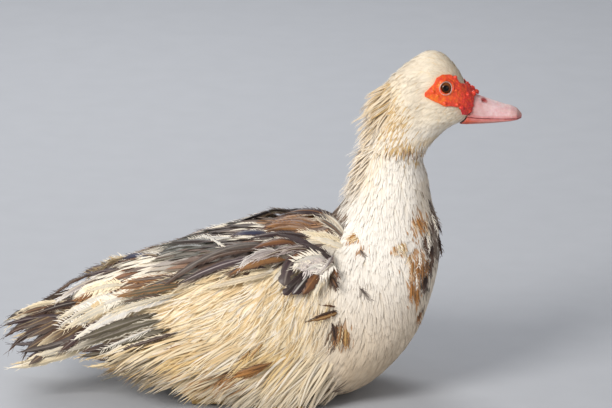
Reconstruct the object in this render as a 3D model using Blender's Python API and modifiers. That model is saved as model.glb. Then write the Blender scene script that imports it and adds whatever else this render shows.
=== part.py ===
# Muscovy duck hen at life size, resting on her belly with her feet tucked under, wings folded
# and head up. Metres, +Z up, bill towards +X, her right side towards -Y. The origin is on the
# floor below the middle of her overall length.
import math
import random

import bmesh
import bpy
from mathutils import Matrix, Vector
from mathutils.bvhtree import BVHTree

FLOOR = 0.0
TOUCH_GAP = 0.0003          # space kept between two nodes that meet
CUT_REACH = 0.6             # half side of a cutting block, larger than the whole bird
BACK_POWER = 2.25           # 2 is an ellipse, more is boxier
BELLY_POWER = 2.7
WIDEST_SHARE = 0.46         # height of the widest line above the keel, as a share of the depth
RING_POINTS = 36
TORSO_RINGS = 30
NECK_RINGS = 34
BODY_VOXEL = 0.003
BODY_SMOOTHING = 10         # rounds that melt the neck into the shoulders
BODY_TRIANGLES = 1960

# Torso sections: x, keel, back, half width.
TORSO = (
    (-0.1700, 0.0690, 0.0900, 0.0100),
    (-0.1620, 0.0590, 0.0955, 0.0240),
    (-0.1400, 0.0430, 0.1065, 0.0420),
    (-0.1100, 0.0250, 0.1200, 0.0570),
    (-0.0700, 0.0060, 0.1340, 0.0700),
    (-0.0300, -0.0020, 0.1430, 0.0780),
    (0.0000, -0.0030, 0.1490, 0.0810),
    (0.0400, -0.0030, 0.1530, 0.0820),
    (0.0700, -0.0015, 0.1540, 0.0810),
    (0.0920, 0.0060, 0.1545, 0.0775),
    (0.1100, 0.0195, 0.1550, 0.0725),
    (0.1260, 0.0355, 0.1560, 0.0650),
    (0.1390, 0.0525, 0.1560, 0.0560),
    (0.1500, 0.0760, 0.1550, 0.0440),
    (0.1580, 0.1020, 0.1530, 0.0290),
    (0.1625, 0.1230, 0.1450, 0.0120),
)

# Neck and head sections: height, rear edge x, front edge x, half width.
NECK_HEAD = (
    (0.0930, 0.0450, 0.1340, 0.0400),
    (0.1180, 0.0450, 0.1500, 0.0500),
    (0.1430, 0.0540, 0.1620, 0.0530),
    (0.1580, 0.0580, 0.1610, 0.0465),
    (0.1710, 0.0715, 0.1565, 0.0385),
    (0.1850, 0.0800, 0.1535, 0.0325),
    (0.1990, 0.0860, 0.1525, 0.0285),
    (0.2110, 0.0905, 0.1475, 0.0260),
    (0.2190, 0.0930, 0.1460, 0.0250),
    (0.2270, 0.0955, 0.1520, 0.0245),
    (0.2350, 0.0975, 0.1600, 0.0240),
    (0.2430, 0.1005, 0.1690, 0.0235),
    (0.2500, 0.1030, 0.1830, 0.0235),
    (0.2570, 0.1050, 0.1900, 0.0238),
    (0.2650, 0.1080, 0.1930, 0.0240),
    (0.2730, 0.1110, 0.1920, 0.0238),
    (0.2800, 0.1135, 0.1870, 0.0230),
    (0.2880, 0.1175, 0.1825, 0.0215),
    (0.2960, 0.1225, 0.1790, 0.0192),
    (0.3040, 0.1295, 0.1735, 0.0155),
    (0.3110, 0.1375, 0.1675, 0.0110),
    (0.3155, 0.1430, 0.1600, 0.0065),
    (0.3175, 0.1490, 0.1540, 0.0015),
)
HEAD_FRONT_POWER = 2.7      # the face is blunter than the nape
FACE_NARROWING = 0.22       # share by which the face is narrower than the nape
FACE_STARTS = 0.228         # height from which the sections narrow towards the bill

# The sheath is the surface that folded feathers follow, a little outside the torso:
# x, lower edge, upper edge, half width.
SHEATH = (
    (-0.2400, 0.0180, 0.0730, 0.0560),
    (-0.2000, 0.0200, 0.0880, 0.0620),
    (-0.1600, 0.0210, 0.1040, 0.0690),
    (-0.1200, 0.0180, 0.1190, 0.0770),
    (-0.0800, 0.0130, 0.1330, 0.0840),
    (-0.0400, 0.0050, 0.1500, 0.0890),
    (0.0000, 0.0010, 0.1630, 0.0910),
    (0.0400, 0.0010, 0.1700, 0.0900),
    (0.0700, 0.0060, 0.1700, 0.0870),
    (0.1100, 0.0240, 0.1590, 0.0780),
)

NECK_BASE_Z = 0.1600        # level cut between the torso and the neck
NAPE_CUT = Vector((0.0935, 0.0, 0.2360))
THROAT_CUT = Vector((0.1500, 0.0, 0.2195))

# Wing, given on the sheath by x and by the angle in degrees from the middle of the back.
WING_FRONT_X = 0.0840
WING_REAR_X = -0.1150
WING_RINGS = 13
WING_ACROSS = 8
WING_MID_ANGLE = (64, 68)   # at the rear and at the front
WING_HALF_ANGLE = 56
WING_ROUNDING = 3.0         # 2 is an oval outline, more is squarer
WING_FULLNESS = 0.68        # how near the plate's face comes to the sheath
WING_RIM_DEPTH = 0.4        # how deep the plate's rim lies in the torso, as a share of its height
WING_ROOT_DEPTH = 0.008     # how far the wing's inner face reaches into the torso before it is cut
VANE_THICKNESS = 0.0006
VANE_STEPS = (0.0, 0.2, 0.5, 0.88, 1.0)             # shares of a feather's length
VANE_SHARES = (0.5, 0.8, 1.0, 0.8, 0.3)             # its width at each step, as a share of the widest
VANE_OVERLAP = 1.38         # a feather's width over the distance to the next one
VANE_SINK = 0.0022          # how far its root lies inside the wing's plate
VANE_ROLL = -6.0            # degrees by which each feather's lower edge stands out over the next one

# Feather tiers of a wing, from the innermost out. Each range runs from the uppermost feather to the
# lowest one: count, root x, root angle, tip x, tip angle, height over the sheath, its step.
WING_TIERS = (
    (5, (-0.0640, -0.0520), (84, 106), (-0.1960, -0.1600), (84, 112), -0.0054, -0.0006),
    (6, (-0.0440, -0.0300), (70, 108), (-0.1560, -0.1260), (70, 114), -0.0030, -0.0003),
    (6, (-0.0040, 0.0000), (66, 112), (-0.0880, -0.0640), (66, 114), -0.0006, -0.0003),
    (5, (0.0360, 0.0420), (66, 106), (-0.0300, -0.0180), (66, 108), 0.0018, -0.0003),
    (5, (-0.0260, -0.0340), (26, 62), (-0.1360, -0.1520), (22, 58), 0.0010, -0.0003),
    (5, (0.0420, 0.0560), (28, 60), (-0.0640, -0.0520), (22, 61), 0.0034, -0.0003),
)

EYE = Vector((0.1656, 0.0, 0.2862))
EYE_RADIUS = 0.0062
EYE_OPENING = 0.0053        # half the width of the opening between the lids
EYE_HOLE = 0.0059           # radius of the hole in the bare skin under the lids
EYE_OUT = 0.0034            # how far the ball's front stands out of the head's surface
LID_WIRE = 0.0012
LID_RISE = 0.0017           # height of the lid's middle over the head's surface
LID_REACH = 0.0075          # distance from the eye's middle that the lids cover
MASK_THICKNESS = 0.0016
BULB_RADIUS = 0.0023
BULBS_A_SIDE = 9
BULB_SPACING = 0.85         # distance between two bulbs, as a share of the sum of their radii
BULB_RISE = 0.7             # height of their middles, as a share of the bare skin's thickness
BULB_TRIES = 900
MASK_REAR_X = 0.1470
MASK_FRONT_X = 0.1920
MASK_LOW_Z = 0.2590
MASK_TOP_Z = 0.2970
# Knob of bulbs over the bill's base: x, z, y, radius.
KNOBS = (
    (0.1845, 0.2825, 0.0045, 0.0030),
    (0.1890, 0.2792, 0.0000, 0.0034),
    (0.1930, 0.2762, 0.0022, 0.0034),
    (0.1850, 0.2825, -0.0048, 0.0028),
    (0.1905, 0.2770, -0.0052, 0.0030),
    (0.1900, 0.2770, 0.0064, 0.0028),
)

# Bare face outline from the side, round from the rear tip: x, z.
MASK_OUTLINE = (
    (0.1463, 0.2823), (0.1545, 0.2900), (0.1570, 0.2950), (0.1620, 0.2976), (0.1690, 0.2972),
    (0.1745, 0.2940), (0.1785, 0.2885), (0.1850, 0.2855), (0.2000, 0.2820), (0.2000, 0.2740),
    (0.1935, 0.2725), (0.1950, 0.2680), (0.1935, 0.2630), (0.1840, 0.2590), (0.1800, 0.2605),
    (0.1780, 0.2670), (0.1715, 0.2690), (0.1640, 0.2695), (0.1590, 0.2725), (0.1525, 0.2755),
    (0.1465, 0.2790),
)

# Bill sections: x, culmen, mouth line, chin, half width.
BILL = (
    (0.1680, 0.2810, 0.2600, 0.2490, 0.0105),
    (0.1800, 0.2790, 0.2575, 0.2475, 0.0118),
    (0.1900, 0.2760, 0.2558, 0.2478, 0.0116),
    (0.2000, 0.2725, 0.2548, 0.2482, 0.0107),
    (0.2090, 0.2693, 0.2546, 0.2488, 0.0101),
    (0.2180, 0.2662, 0.2544, 0.2498, 0.0101),
    (0.2250, 0.2643, 0.2542, 0.2508, 0.0096),
    (0.2300, 0.2618, 0.2540, 0.2518, 0.0076),
    (0.2330, 0.2590, 0.2538, 0.2524, 0.0042),
    (0.2340, 0.2570, 0.2537, 0.2528, 0.0014),
)
BILL_RINGS = 12
LIP_INSET = 0.0006          # how far the lower bill's edge lies inside the upper one's
NOSTRIL = Vector((0.2003, 0.0060, 0.2698))
NOSTRIL_SIZE = Vector((0.0026, 0.0020, 0.0015))

# Tail fan.
TAIL_ROOT = Vector((-0.1400, 0.0, 0.0925))
TAIL_TIP_X = -0.2330
TAIL_TIP_Z = 0.0620
TAIL_DROOP = 0.0260         # how far the outer feathers hang below the middle pair
TAIL_HALF_ROOT = 0.0170
TAIL_HALF_TIP = 0.0540
# Feather tiers of the tail: count, share of the fan's width, start and end along the fan, width,
# height of the middle feather, and the step from each feather down to the one outside it.
TAIL_TIERS = (
    (13, 1.00, 0.06, 1.00, 0.0200, 0.0030, 0.0014),
    (7, 0.62, 0.00, 0.60, 0.0185, 0.0085, 0.0012),
    (5, 0.55, 0.02, 0.56, 0.0185, -0.0135, 0.0010),
)
# Rump sections: x, lower edge, upper edge, half width.
RUMP = (
    (-0.1300, 0.0570, 0.1060, 0.0400),
    (-0.1500, 0.0630, 0.1015, 0.0330),
    (-0.1660, 0.0670, 0.0960, 0.0270),
    (-0.1820, 0.0710, 0.0880, 0.0200),
)
RUMP_ROOF = 0.0060          # how far the rump's sides hang below its middle

# Raised nape feathers.
LOCK_ROOT = 0.0060          # length of each lock sunk in its node
# Lowest and highest row of locks, rows, locks in a row.
NECK_LOCKS = (0.1790, 0.2270, 4, 4)
HEAD_LOCKS = (0.2470, 0.2960, 4, 5)
LOCK_SPREAD = 27            # degrees from one lock to the next round the neck
LOCK_SHIFT = 7              # degrees by which every other row is turned
LOCK_WIDTH = 0.0105
LOCK_THICKNESS = 0.0022
LOCK_STEPS = (0.0, 0.35, 0.7, 1.0)      # shares of a lock's length
LOCK_SHARES = (0.8, 1.0, 0.66, 0.16)    # its width at each step, as a share of the widest
LOCK_DROOP = 0.25           # how far its tip hangs below a straight lock's, as a share of its length
# On the neck and high on the head: length, how far a lock stands out, how far it falls.
LOCK_LENGTH = (0.0240, 0.0340)
LOCK_LIFT = (0.50, 0.95)
LOCK_FALL = (1.00, 0.65)
LOCK_SHORTENING = 0.11      # share by which each further lock round the neck is shorter

# Legs and feet, on the floor below the flanks.
LEG_Y = 0.0545
HEEL_X = -0.0620
ANKLE_X = -0.0160
HIP = (-0.0040, 0.0469, 0.0520)
KNEE = (-0.0500, 0.0545, 0.0460)
HEEL_Z = 0.0062
ANKLE_Z = 0.0041
THIGH_RADII = (0.0125, 0.0120, 0.0108, 0.0092, 0.0076, 0.0064, 0.0056)
SHANK_RADII = (0.0056, 0.0048, 0.0045, 0.0045, 0.0046, 0.0050)
TOE_LENGTH = 0.0560
SIDE_TOE_SHARE = 0.9        # length of the inner and outer toe, as a share of the middle one's
TOE_RADII = (0.0044, 0.0036, 0.0031, 0.0030, 0.0024)
TOE_TURNS = (2, 22, 42)     # degrees by which the front toes turn outwards
TOE_Z = 0.0040
TOE_DROP = 0.0010           # how much lower a toe's end lies than its root
HIND_TOE_LENGTH = 0.0110
HIND_TOE_TURN = 131         # degrees from straight ahead, inwards
HIND_TOE_RADII = (0.0030, 0.0026, 0.0021)
WEB_THICKNESS = 0.0018
WEB_REACH = 0.9             # where the web ends along a toe, as a share of its length
WEB_NOTCH = 0.0070          # how far the web's edge curves in between two toes
CLAW_LENGTH = 0.0095
CLAW_RADIUS = 0.0019
CLAW_TAPER = 0.86
CLAW_HOOK = 0.0012

COLOURS = {
    "cream": ((0.80, 0.69, 0.49), 0.75),
    "white": ((0.84, 0.79, 0.70), 0.75),
    "pied": ((0.33, 0.24, 0.17), 0.65),
    "red": ((0.72, 0.09, 0.04), 0.45),
    "pink": ((0.80, 0.44, 0.42), 0.40),
    "eye": ((0.10, 0.035, 0.012), 0.08),
    "shank": ((0.52, 0.36, 0.16), 0.55),
    "claw": ((0.16, 0.13, 0.10), 0.45),
}


def clear_scene():
    for obj in list(bpy.data.objects):
        bpy.data.objects.remove(obj)


def new_collection(name):
    made = bpy.data.collections.new(name)
    bpy.context.scene.collection.children.link(made)
    return made


def material_named(name):
    found = bpy.data.materials.get(name)
    if found:
        return found
    colour, roughness = COLOURS[name]
    made = bpy.data.materials.new(name)
    made.use_nodes = True
    shader = made.node_tree.nodes["Principled BSDF"]
    shader.inputs["Base Color"].default_value = (*colour, 1.0)
    shader.inputs["Roughness"].default_value = roughness
    shader.inputs["Metallic"].default_value = 0.0
    return made


def smooth_row(table, key):
    """The table's row at key, by a smooth curve through its rows."""
    last = len(table) - 1
    key = min(max(key, table[0][0]), table[last][0])
    i = max(j for j in range(last) if table[j][0] <= key)
    before, low, high, after = table[max(i - 1, 0)], table[i], table[i + 1], table[min(i + 2, last)]
    span = high[0] - low[0]
    t = (key - low[0]) / span
    row = [key]
    for column in range(1, len(low)):
        slope_low = (high[column] - before[column]) / (high[0] - before[0])
        slope_high = (after[column] - low[column]) / (after[0] - low[0])
        a = (2 * t ** 3 - 3 * t ** 2 + 1) * low[column] + (t ** 3 - 2 * t ** 2 + t) * span * slope_low
        b = (3 * t ** 2 - 2 * t ** 3) * high[column] + (t ** 3 - t ** 2) * span * slope_high
        row.append(a + b)
    return row


def mix(a, b, t):
    return a + (b - a) * t


def power_curve(value, power):
    return math.copysign(abs(value) ** (2 / power), value)


def section_point(table, x, angle, grow=0.0):
    """A point of the rounded section at x. The angle, in degrees, runs from the back down the left side."""
    _, low, high, half = smooth_row(table, x)
    middle = mix(low, high, WIDEST_SHARE)
    turn = math.radians(angle)
    above = math.cos(turn) > 0
    power = BACK_POWER if above else BELLY_POWER
    rise = (high - middle + grow) if above else (middle - low + grow)
    out = (half + grow) * power_curve(math.sin(turn), power)
    return Vector((x, out, middle + rise * power_curve(math.cos(turn), power)))


def outward(table, x, angle):
    """Unit normal of the sectioned surface at x and angle."""
    along = section_point(table, x + 0.002, angle) - section_point(table, x - 0.002, angle)
    around = section_point(table, x, angle + 2) - section_point(table, x, angle - 2)
    normal = along.cross(around).normalized()
    here = section_point(table, x, angle)
    middle = section_point(table, x, 0).lerp(section_point(table, x, 180), 0.5)
    return normal if normal.dot(here - middle) > 0 else -normal


def mesh_from_rings(name, rings):
    """A closed body through rings of equally many points, with a flat cap at each end."""
    bm = bmesh.new()
    loops = [[bm.verts.new(p) for p in ring] for ring in rings]
    count = len(loops[0])
    for one, two in zip(loops, loops[1:]):
        for i in range(count):
            j = (i + 1) % count
            bm.faces.new((one[i], one[j], two[j]))
            bm.faces.new((one[i], two[j], two[i]))
    bm.faces.new(loops[0])
    bm.faces.new(loops[-1])
    bmesh.ops.recalc_face_normals(bm, faces=bm.faces)
    return object_from(bm, name)


def object_from(bm, name):
    mesh = bpy.data.meshes.new(name)
    bm.to_mesh(mesh)
    bm.free()
    obj = bpy.data.objects.new(name, mesh)
    bpy.context.scene.collection.objects.link(obj)
    return obj


def even_steps(first, last, count, crowd=0.0):
    """Values from first to last, drawn together at both ends by crowd, from 0 to 1."""
    values = []
    for i in range(count):
        t = i / (count - 1)
        values.append(mix(first, last, mix(t, (1 - math.cos(math.pi * t)) / 2, crowd)))
    return values


def make_torso():
    rings = []
    for x in even_steps(TORSO[0][0], TORSO[-1][0], TORSO_RINGS, 0.75):
        rings.append([section_point(TORSO, x, 360 * i / RING_POINTS) for i in range(RING_POINTS)])
    return mesh_from_rings("torso", rings)


def neck_ring(z):
    _, rear, front, half = smooth_row(NECK_HEAD, z)
    middle = (rear + front) / 2
    reach = (front - rear) / 2
    face = min(max((z - FACE_STARTS) / 0.02, 0.0), 1.0)
    ring = []
    for i in range(RING_POINTS):
        turn = 2 * math.pi * i / RING_POINTS
        ahead = math.cos(turn)
        power = mix(2.0, HEAD_FRONT_POWER, face) if ahead > 0 else 2.1
        x = middle + reach * power_curve(ahead, power)
        width = half * (1 - FACE_NARROWING * face * ahead)
        ring.append(Vector((x, width * power_curve(math.sin(turn), power), z)))
    return ring


def make_neck_head():
    heights = even_steps(NECK_HEAD[0][0], NECK_HEAD[-1][0], NECK_RINGS, 0.5)
    return mesh_from_rings("neck_head", [neck_ring(z) for z in heights])


def make_body():
    """Torso, neck and head in one smooth skin with a flat keel."""
    body = join_all("body", [make_torso(), make_neck_head()])
    remesh = body.modifiers.new("remesh", "REMESH")
    remesh.mode = "VOXEL"
    remesh.voxel_size = BODY_VOXEL
    smooth = body.modifiers.new("smooth", "SMOOTH")
    smooth.factor = 0.5
    smooth.iterations = BODY_SMOOTHING
    bpy.context.view_layer.update()
    apply_modifiers(body)
    thin = body.modifiers.new("thin", "DECIMATE")
    thin.ratio = BODY_TRIANGLES / (2 * len(body.data.polygons))
    thin.use_collapse_triangulate = True
    bpy.context.view_layer.update()
    apply_modifiers(body)
    return body


def offset_copy(obj, name, distance):
    """A copy whose surface lies the given distance outside the object's."""
    made = copy_of(obj, name)
    normals = [v.normal.copy() for v in made.data.vertices]
    for vert, normal in zip(made.data.vertices, normals):
        vert.co += normal * distance
    return made


def apply_modifiers(obj):
    graph = bpy.context.evaluated_depsgraph_get()
    mesh = bpy.data.meshes.new_from_object(obj.evaluated_get(graph))
    obj.modifiers.clear()
    obj.data = mesh


def join_all(name, pieces):
    """One closed body from overlapping closed pieces."""
    first, others = pieces[0], pieces[1:]
    first.name = name
    if others:
        group = bpy.data.collections.new(name + "_pieces")
        for piece in others:
            group.objects.link(piece)
        union = first.modifiers.new("union", "BOOLEAN")
        union.operation = "UNION"
        union.operand_type = "COLLECTION"
        union.collection = group
        union.solver = "MANIFOLD"
        bpy.context.view_layer.update()
        apply_modifiers(first)
        for piece in others:
            bpy.data.objects.remove(piece)
        bpy.data.collections.remove(group)
    keep_largest(first)
    return first


def cut_away(obj, cutter, keep_cutter=False):
    """Cuts the cutter's shape out of the object and removes the cutter, unless it is still needed."""
    cut = obj.modifiers.new("cut", "BOOLEAN")
    cut.operation = "DIFFERENCE"
    cut.object = cutter
    cut.solver = "MANIFOLD"
    bpy.context.view_layer.update()
    apply_modifiers(obj)
    if not keep_cutter:
        bpy.data.objects.remove(cutter)
    keep_largest(obj)
    return obj


def keep_largest(obj):
    """Drops every loose shell but the one with the largest volume."""
    bm = bmesh.new()
    bm.from_mesh(obj.data)
    bmesh.ops.triangulate(bm, faces=bm.faces)
    unseen = set(bm.faces)
    shells = []
    while unseen:
        stack = [unseen.pop()]
        shell = list(stack)
        while stack:
            face = stack.pop()
            for edge in face.edges:
                for other in edge.link_faces:
                    if other in unseen:
                        unseen.remove(other)
                        stack.append(other)
                        shell.append(other)
        volume = 0.0
        for face in shell:
            a, b, c = (v.co for v in face.verts)
            volume += a.dot(b.cross(c)) / 6
        shells.append((volume, shell))
    if len(shells) > 1:
        shells.sort(key=lambda entry: entry[0])
        for _, shell in shells[:-1]:
            bmesh.ops.delete(bm, geom=shell, context="FACES")
    bm.to_mesh(obj.data)
    bm.free()


def slice_off(obj, point, normal):
    """Removes what lies on the normal's side of a plane and closes the cut with a flat face."""
    bm = bmesh.new()
    bm.from_mesh(obj.data)
    everything = bm.verts[:] + bm.edges[:] + bm.faces[:]
    bmesh.ops.bisect_plane(bm, geom=everything, plane_co=point, plane_no=normal, clear_outer=True)
    open_edges = [e for e in bm.edges if len(e.link_faces) == 1]
    bmesh.ops.holes_fill(bm, edges=open_edges, sides=0)
    bmesh.ops.recalc_face_normals(bm, faces=bm.faces)
    bm.to_mesh(obj.data)
    bm.free()
    return obj


def copy_of(obj, name):
    made = bpy.data.objects.new(name, obj.data.copy())
    bpy.context.scene.collection.objects.link(made)
    return made


def vane(path, normals, widths, thickness, roll=0.0):
    """A flat feather along a path, split into triangles alike above and below."""
    rings = []
    last = len(path) - 1
    for i, point in enumerate(path):
        along = (path[min(i + 1, last)] - path[max(i - 1, 0)]).normalized()
        across = along.cross(normals[i]).normalized()
        up = across.cross(along).normalized()
        turn = Matrix.Rotation(roll, 3, along)
        across, up = turn @ across * (widths[i] / 2), turn @ up * (thickness / 2)
        rings.append([point - across + up, point + across + up, point + across - up, point - across - up])
    bm = bmesh.new()
    loops = [[bm.verts.new(p) for p in ring] for ring in rings]
    for one, two in zip(loops, loops[1:]):
        bm.faces.new((one[0], one[1], two[1]))
        bm.faces.new((one[0], two[1], two[0]))
        bm.faces.new((one[3], two[2], one[2]))
        bm.faces.new((one[3], two[3], two[2]))
        for i, j in ((1, 2), (3, 0)):
            bm.faces.new((one[i], one[j], two[j]))
            bm.faces.new((one[i], two[j], two[i]))
    bm.faces.new(loops[0])
    bm.faces.new(loops[-1])
    bmesh.ops.recalc_face_normals(bm, faces=bm.faces)
    return object_from(bm, "vane")


def lock(root, direction, normal, length):
    """A flat tapered lock of narrow feathers that bends down towards its tip."""
    path = []
    for t in LOCK_STEPS:
        path.append(root + direction * (length * t) - Vector((0, 0, LOCK_DROOP * length * t * t)))
    rings = []
    for i, point in enumerate(path):
        along = (path[min(i + 1, len(path) - 1)] - path[max(i - 1, 0)]).normalized()
        across = along.cross(normal).normalized()
        up = across.cross(along).normalized()
        half = LOCK_WIDTH * LOCK_SHARES[i] / 2
        deep = LOCK_THICKNESS * max(LOCK_SHARES[i], 0.4) / 2
        rings.append([point - across * half, point + up * deep, point + across * half, point - up * deep])
    return mesh_from_rings("lock", rings)


def sheath_vane(side, root, tip, width, level):
    """A folded feather from root to tip, each given by x and angle on the sheath."""
    path, normals, widths = [], [], []
    for t, share in zip(VANE_STEPS, VANE_SHARES):
        x = mix(root[0], tip[0], t)
        angle = mix(root[1], tip[1], t)
        normal = outward(SHEATH, x, angle)
        free = section_point(SHEATH, x, angle) + normal * level
        held = wing_face(x, angle) - normal * VANE_SINK
        path.append(held.lerp(free, min(t / VANE_STEPS[2], 1.0)))
        normals.append(normal)
        widths.append(width * share)
    feather = vane(path, normals, widths, VANE_THICKNESS, math.radians(VANE_ROLL))
    if side < 0:
        mirror_over(feather)
    return feather


def mirror_over(obj):
    """Turns a piece built on the left side into one for the right side."""
    bm = bmesh.new()
    bm.from_mesh(obj.data)
    for vert in bm.verts:
        vert.co.y = -vert.co.y
    bmesh.ops.reverse_faces(bm, faces=bm.faces)
    bm.to_mesh(obj.data)
    bm.free()


def wing_span(x):
    """Middle angle, half the angle covered and fullness of the wing's plate at x."""
    share = (x - WING_REAR_X) / (WING_FRONT_X - WING_REAR_X)
    extent = max(1 - abs(2 * share - 1) ** WING_ROUNDING, 0.0) ** (1 / WING_ROUNDING)
    return mix(*WING_MID_ANGLE, share), WING_HALF_ANGLE * max(extent, 0.35), extent


def wing_face(x, angle):
    """The outer face of the wing's plate, which dips into the torso past its rim."""
    middle, half, extent = wing_span(x)
    across = min(abs(angle - middle) / half, 1.0)
    rise = extent ** 0.5 * math.sqrt(1 - across ** 4)
    swell = WING_FULLNESS * mix(-WING_RIM_DEPTH, 1.0, rise)
    return section_point(TORSO, x, angle).lerp(section_point(SHEATH, x, angle), swell)


def make_wing_core(side):
    """The folded wing's flesh: a rounded plate that lies over the flank."""
    rings = []
    for x in even_steps(WING_REAR_X, WING_FRONT_X, WING_RINGS, 0.6):
        middle, half, _ = wing_span(x)
        angles = [middle + half * (2 * j / (WING_ACROSS - 1) - 1) for j in range(WING_ACROSS)]
        outer = [wing_face(x, angle) for angle in angles]
        inner = [section_point(TORSO, x, angle, -WING_ROOT_DEPTH) for angle in angles]
        rings.append(outer + inner[::-1])
    core = mesh_from_rings("wing_core", rings)
    if side < 0:
        mirror_over(core)
    return core


def make_wing(side, name, body_cutter):
    """Folded wing: primaries, secondaries, two tiers of coverts, tertials and scapulars."""
    draw = random.Random(11 + side)
    pieces = [make_wing_core(side)]
    for count, root_x, root_angle, tip_x, tip_angle, level, step in WING_TIERS:
        middle_x = (sum(root_x) + sum(tip_x)) / 4
        top = section_point(SHEATH, middle_x, (root_angle[0] + tip_angle[0]) / 2)
        low = section_point(SHEATH, middle_x, (root_angle[1] + tip_angle[1]) / 2)
        width = (low - top).length / (count - 1) * VANE_OVERLAP
        for i in range(count):
            t = i / (count - 1)
            root = (mix(*root_x, t), mix(*root_angle, t))
            tip = (mix(*tip_x, t) + draw.uniform(-0.005, 0.005), mix(*tip_angle, t))
            pieces.append(sheath_vane(side, root, tip, width, level + step * i))
    wing = join_all(name, pieces)
    cut_away(wing, body_cutter, keep_cutter=True)
    return wing


def tail_point(across, along, level):
    """A point on the roof-shaped fan: across from -1 to 1, along from root to tip."""
    along = max(along, 0.0)
    half = mix(TAIL_HALF_ROOT, TAIL_HALF_TIP, along ** 0.85)
    x = mix(TAIL_ROOT.x, TAIL_TIP_X + 0.020 * across * across, along)
    z = mix(TAIL_ROOT.z, TAIL_TIP_Z, along ** 1.15) - TAIL_DROOP * across * across * mix(0.25, 1.0, along)
    return Vector((x, half * across, z + level))


def tail_vane(across, spread, start, end, width, level):
    """A tail feather on the fan; spread says how much further out its tip lies than its root."""
    path, normals, widths = [], [], []
    for t, share in zip(VANE_STEPS, VANE_SHARES):
        place = across * mix(1.0, spread, t)
        along = mix(start, end, t)
        beside = tail_point(place + 0.02, along, level) - tail_point(place - 0.02, along, level)
        onward = tail_point(place, along + 0.02, level) - tail_point(place, along - 0.02, level)
        path.append(tail_point(place, along, level))
        normals.append(beside.cross(onward).normalized())
        widths.append(width * share)
    return vane(path, normals, widths, VANE_THICKNESS)


def make_tail(body_cutter):
    """Rump wedge that carries a fan of tail feathers, with coverts above and below their roots."""
    draw = random.Random(5)
    rings = []
    for x, low, high, half in RUMP:
        ring = []
        for i in range(16):
            turn = 2 * math.pi * i / 16
            middle = (low + high) / 2 - RUMP_ROOF * math.sin(turn) ** 2
            ring.append(Vector((x, half * math.sin(turn), middle + (high - low) / 2 * math.cos(turn))))
        rings.append(ring)
    pieces = [mesh_from_rings("rump", rings)]
    for count, reach, start, end, width, level, step in TAIL_TIERS:
        middle = (count - 1) / 2
        for i in range(count):
            across = (i - middle) / middle * reach
            tip = end + draw.uniform(-0.05, 0.03)
            height = level - step * abs(i - middle)
            pieces.append(tail_vane(across, mix(1.2, 1.0, reach), start, tip, width, height))
    tail = join_all("tail", pieces)
    cut_away(tail, body_cutter, keep_cutter=True)
    return tail


def nape_locks(low_z, high_z, rows, columns, seed):
    """Raised feathers down the back of the head and neck, row by row."""
    draw = random.Random(seed)
    locks = []
    for row in range(rows):
        z = mix(high_z, low_z, row / (rows - 1))
        _, rear, front, half = smooth_row(NECK_HEAD, z)
        middle = (rear + front) / 2
        for column in range(columns):
            shift = LOCK_SHIFT if row % 2 else -LOCK_SHIFT
            spread = (column - (columns - 1) / 2) * LOCK_SPREAD + shift + draw.uniform(-4, 4)
            turn = math.radians(180 + spread)
            out = Vector((math.cos(turn) / (front - middle), math.sin(turn) / half, 0)).normalized()
            root = Vector((middle + (middle - rear) * math.cos(turn), half * math.sin(turn), z))
            head_share = min(max((z - NECK_LOCKS[1]) / (HEAD_LOCKS[1] - NECK_LOCKS[1]), 0.0), 1.0)
            lift = mix(*LOCK_LIFT, head_share) * draw.uniform(0.85, 1.1)
            fall = mix(*LOCK_FALL, head_share)
            direction = (out * lift - Vector((0, 0, fall))).normalized()
            beside = 1 - LOCK_SHORTENING * abs(spread) / LOCK_SPREAD
            length = mix(*LOCK_LENGTH, head_share) * draw.uniform(0.85, 1.15) * beside
            across = direction.cross(Vector((0, 0, 1))).normalized()
            normal = across.cross(direction).normalized()
            locks.append(lock(root - direction * LOCK_ROOT, direction, normal, length + LOCK_ROOT))
    return locks


def outline_prism(name, outline, low_y, high_y):
    """A block with the given side outline, from low_y to high_y."""
    near = [Vector((x, low_y, z)) for x, z in outline]
    far = [Vector((x, high_y, z)) for x, z in outline]
    return mesh_from_rings(name, [near, far])


def ball(name, centre, radius, across=12, up=8):
    """A ball, or an egg where the radius is a vector."""
    bm = bmesh.new()
    bmesh.ops.create_uvsphere(bm, u_segments=across, v_segments=up, radius=1.0)
    scale = radius if isinstance(radius, Vector) else Vector((radius, radius, radius))
    bmesh.ops.scale(bm, vec=scale, verts=bm.verts)
    bmesh.ops.translate(bm, vec=centre, verts=bm.verts)
    return object_from(bm, name)


def bulb(centre, radius):
    """A small rounded growth of the bare skin."""
    bm = bmesh.new()
    bmesh.ops.create_icosphere(bm, subdivisions=1, radius=radius)
    bmesh.ops.translate(bm, vec=centre, verts=bm.verts)
    return object_from(bm, "bulb")


def face_spot(skin, side, x, z):
    """The place and outward direction of the head's surface at a spot seen from the side."""
    place, normal, _, _ = skin.ray_cast(Vector((x, side * 0.1, z)), Vector((0, -side, 0)))
    return place, normal


def eye_centre(skin, side):
    place, normal = face_spot(skin, side, EYE.x, EYE.z)
    return place - normal * (EYE_RADIUS - EYE_OUT)


def lid_ring(skin, side):
    """The raised rim round the eye, square to the head's surface."""
    _, normal = face_spot(skin, side, EYE.x, EYE.z)
    bpy.ops.mesh.primitive_torus_add(
        major_radius=EYE_OPENING + LID_WIRE * 0.9,
        minor_radius=LID_WIRE,
        major_segments=16,
        minor_segments=4,
    )
    ring = bpy.context.object
    ring.name = "lid"
    centre = eye_centre(skin, side) + normal * (EYE_RADIUS - EYE_OUT + LID_RISE)
    turn = normal.to_track_quat("Z", "Y").to_matrix().to_4x4()
    ring.data.transform(Matrix.Translation(centre) @ turn)
    return ring


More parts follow.
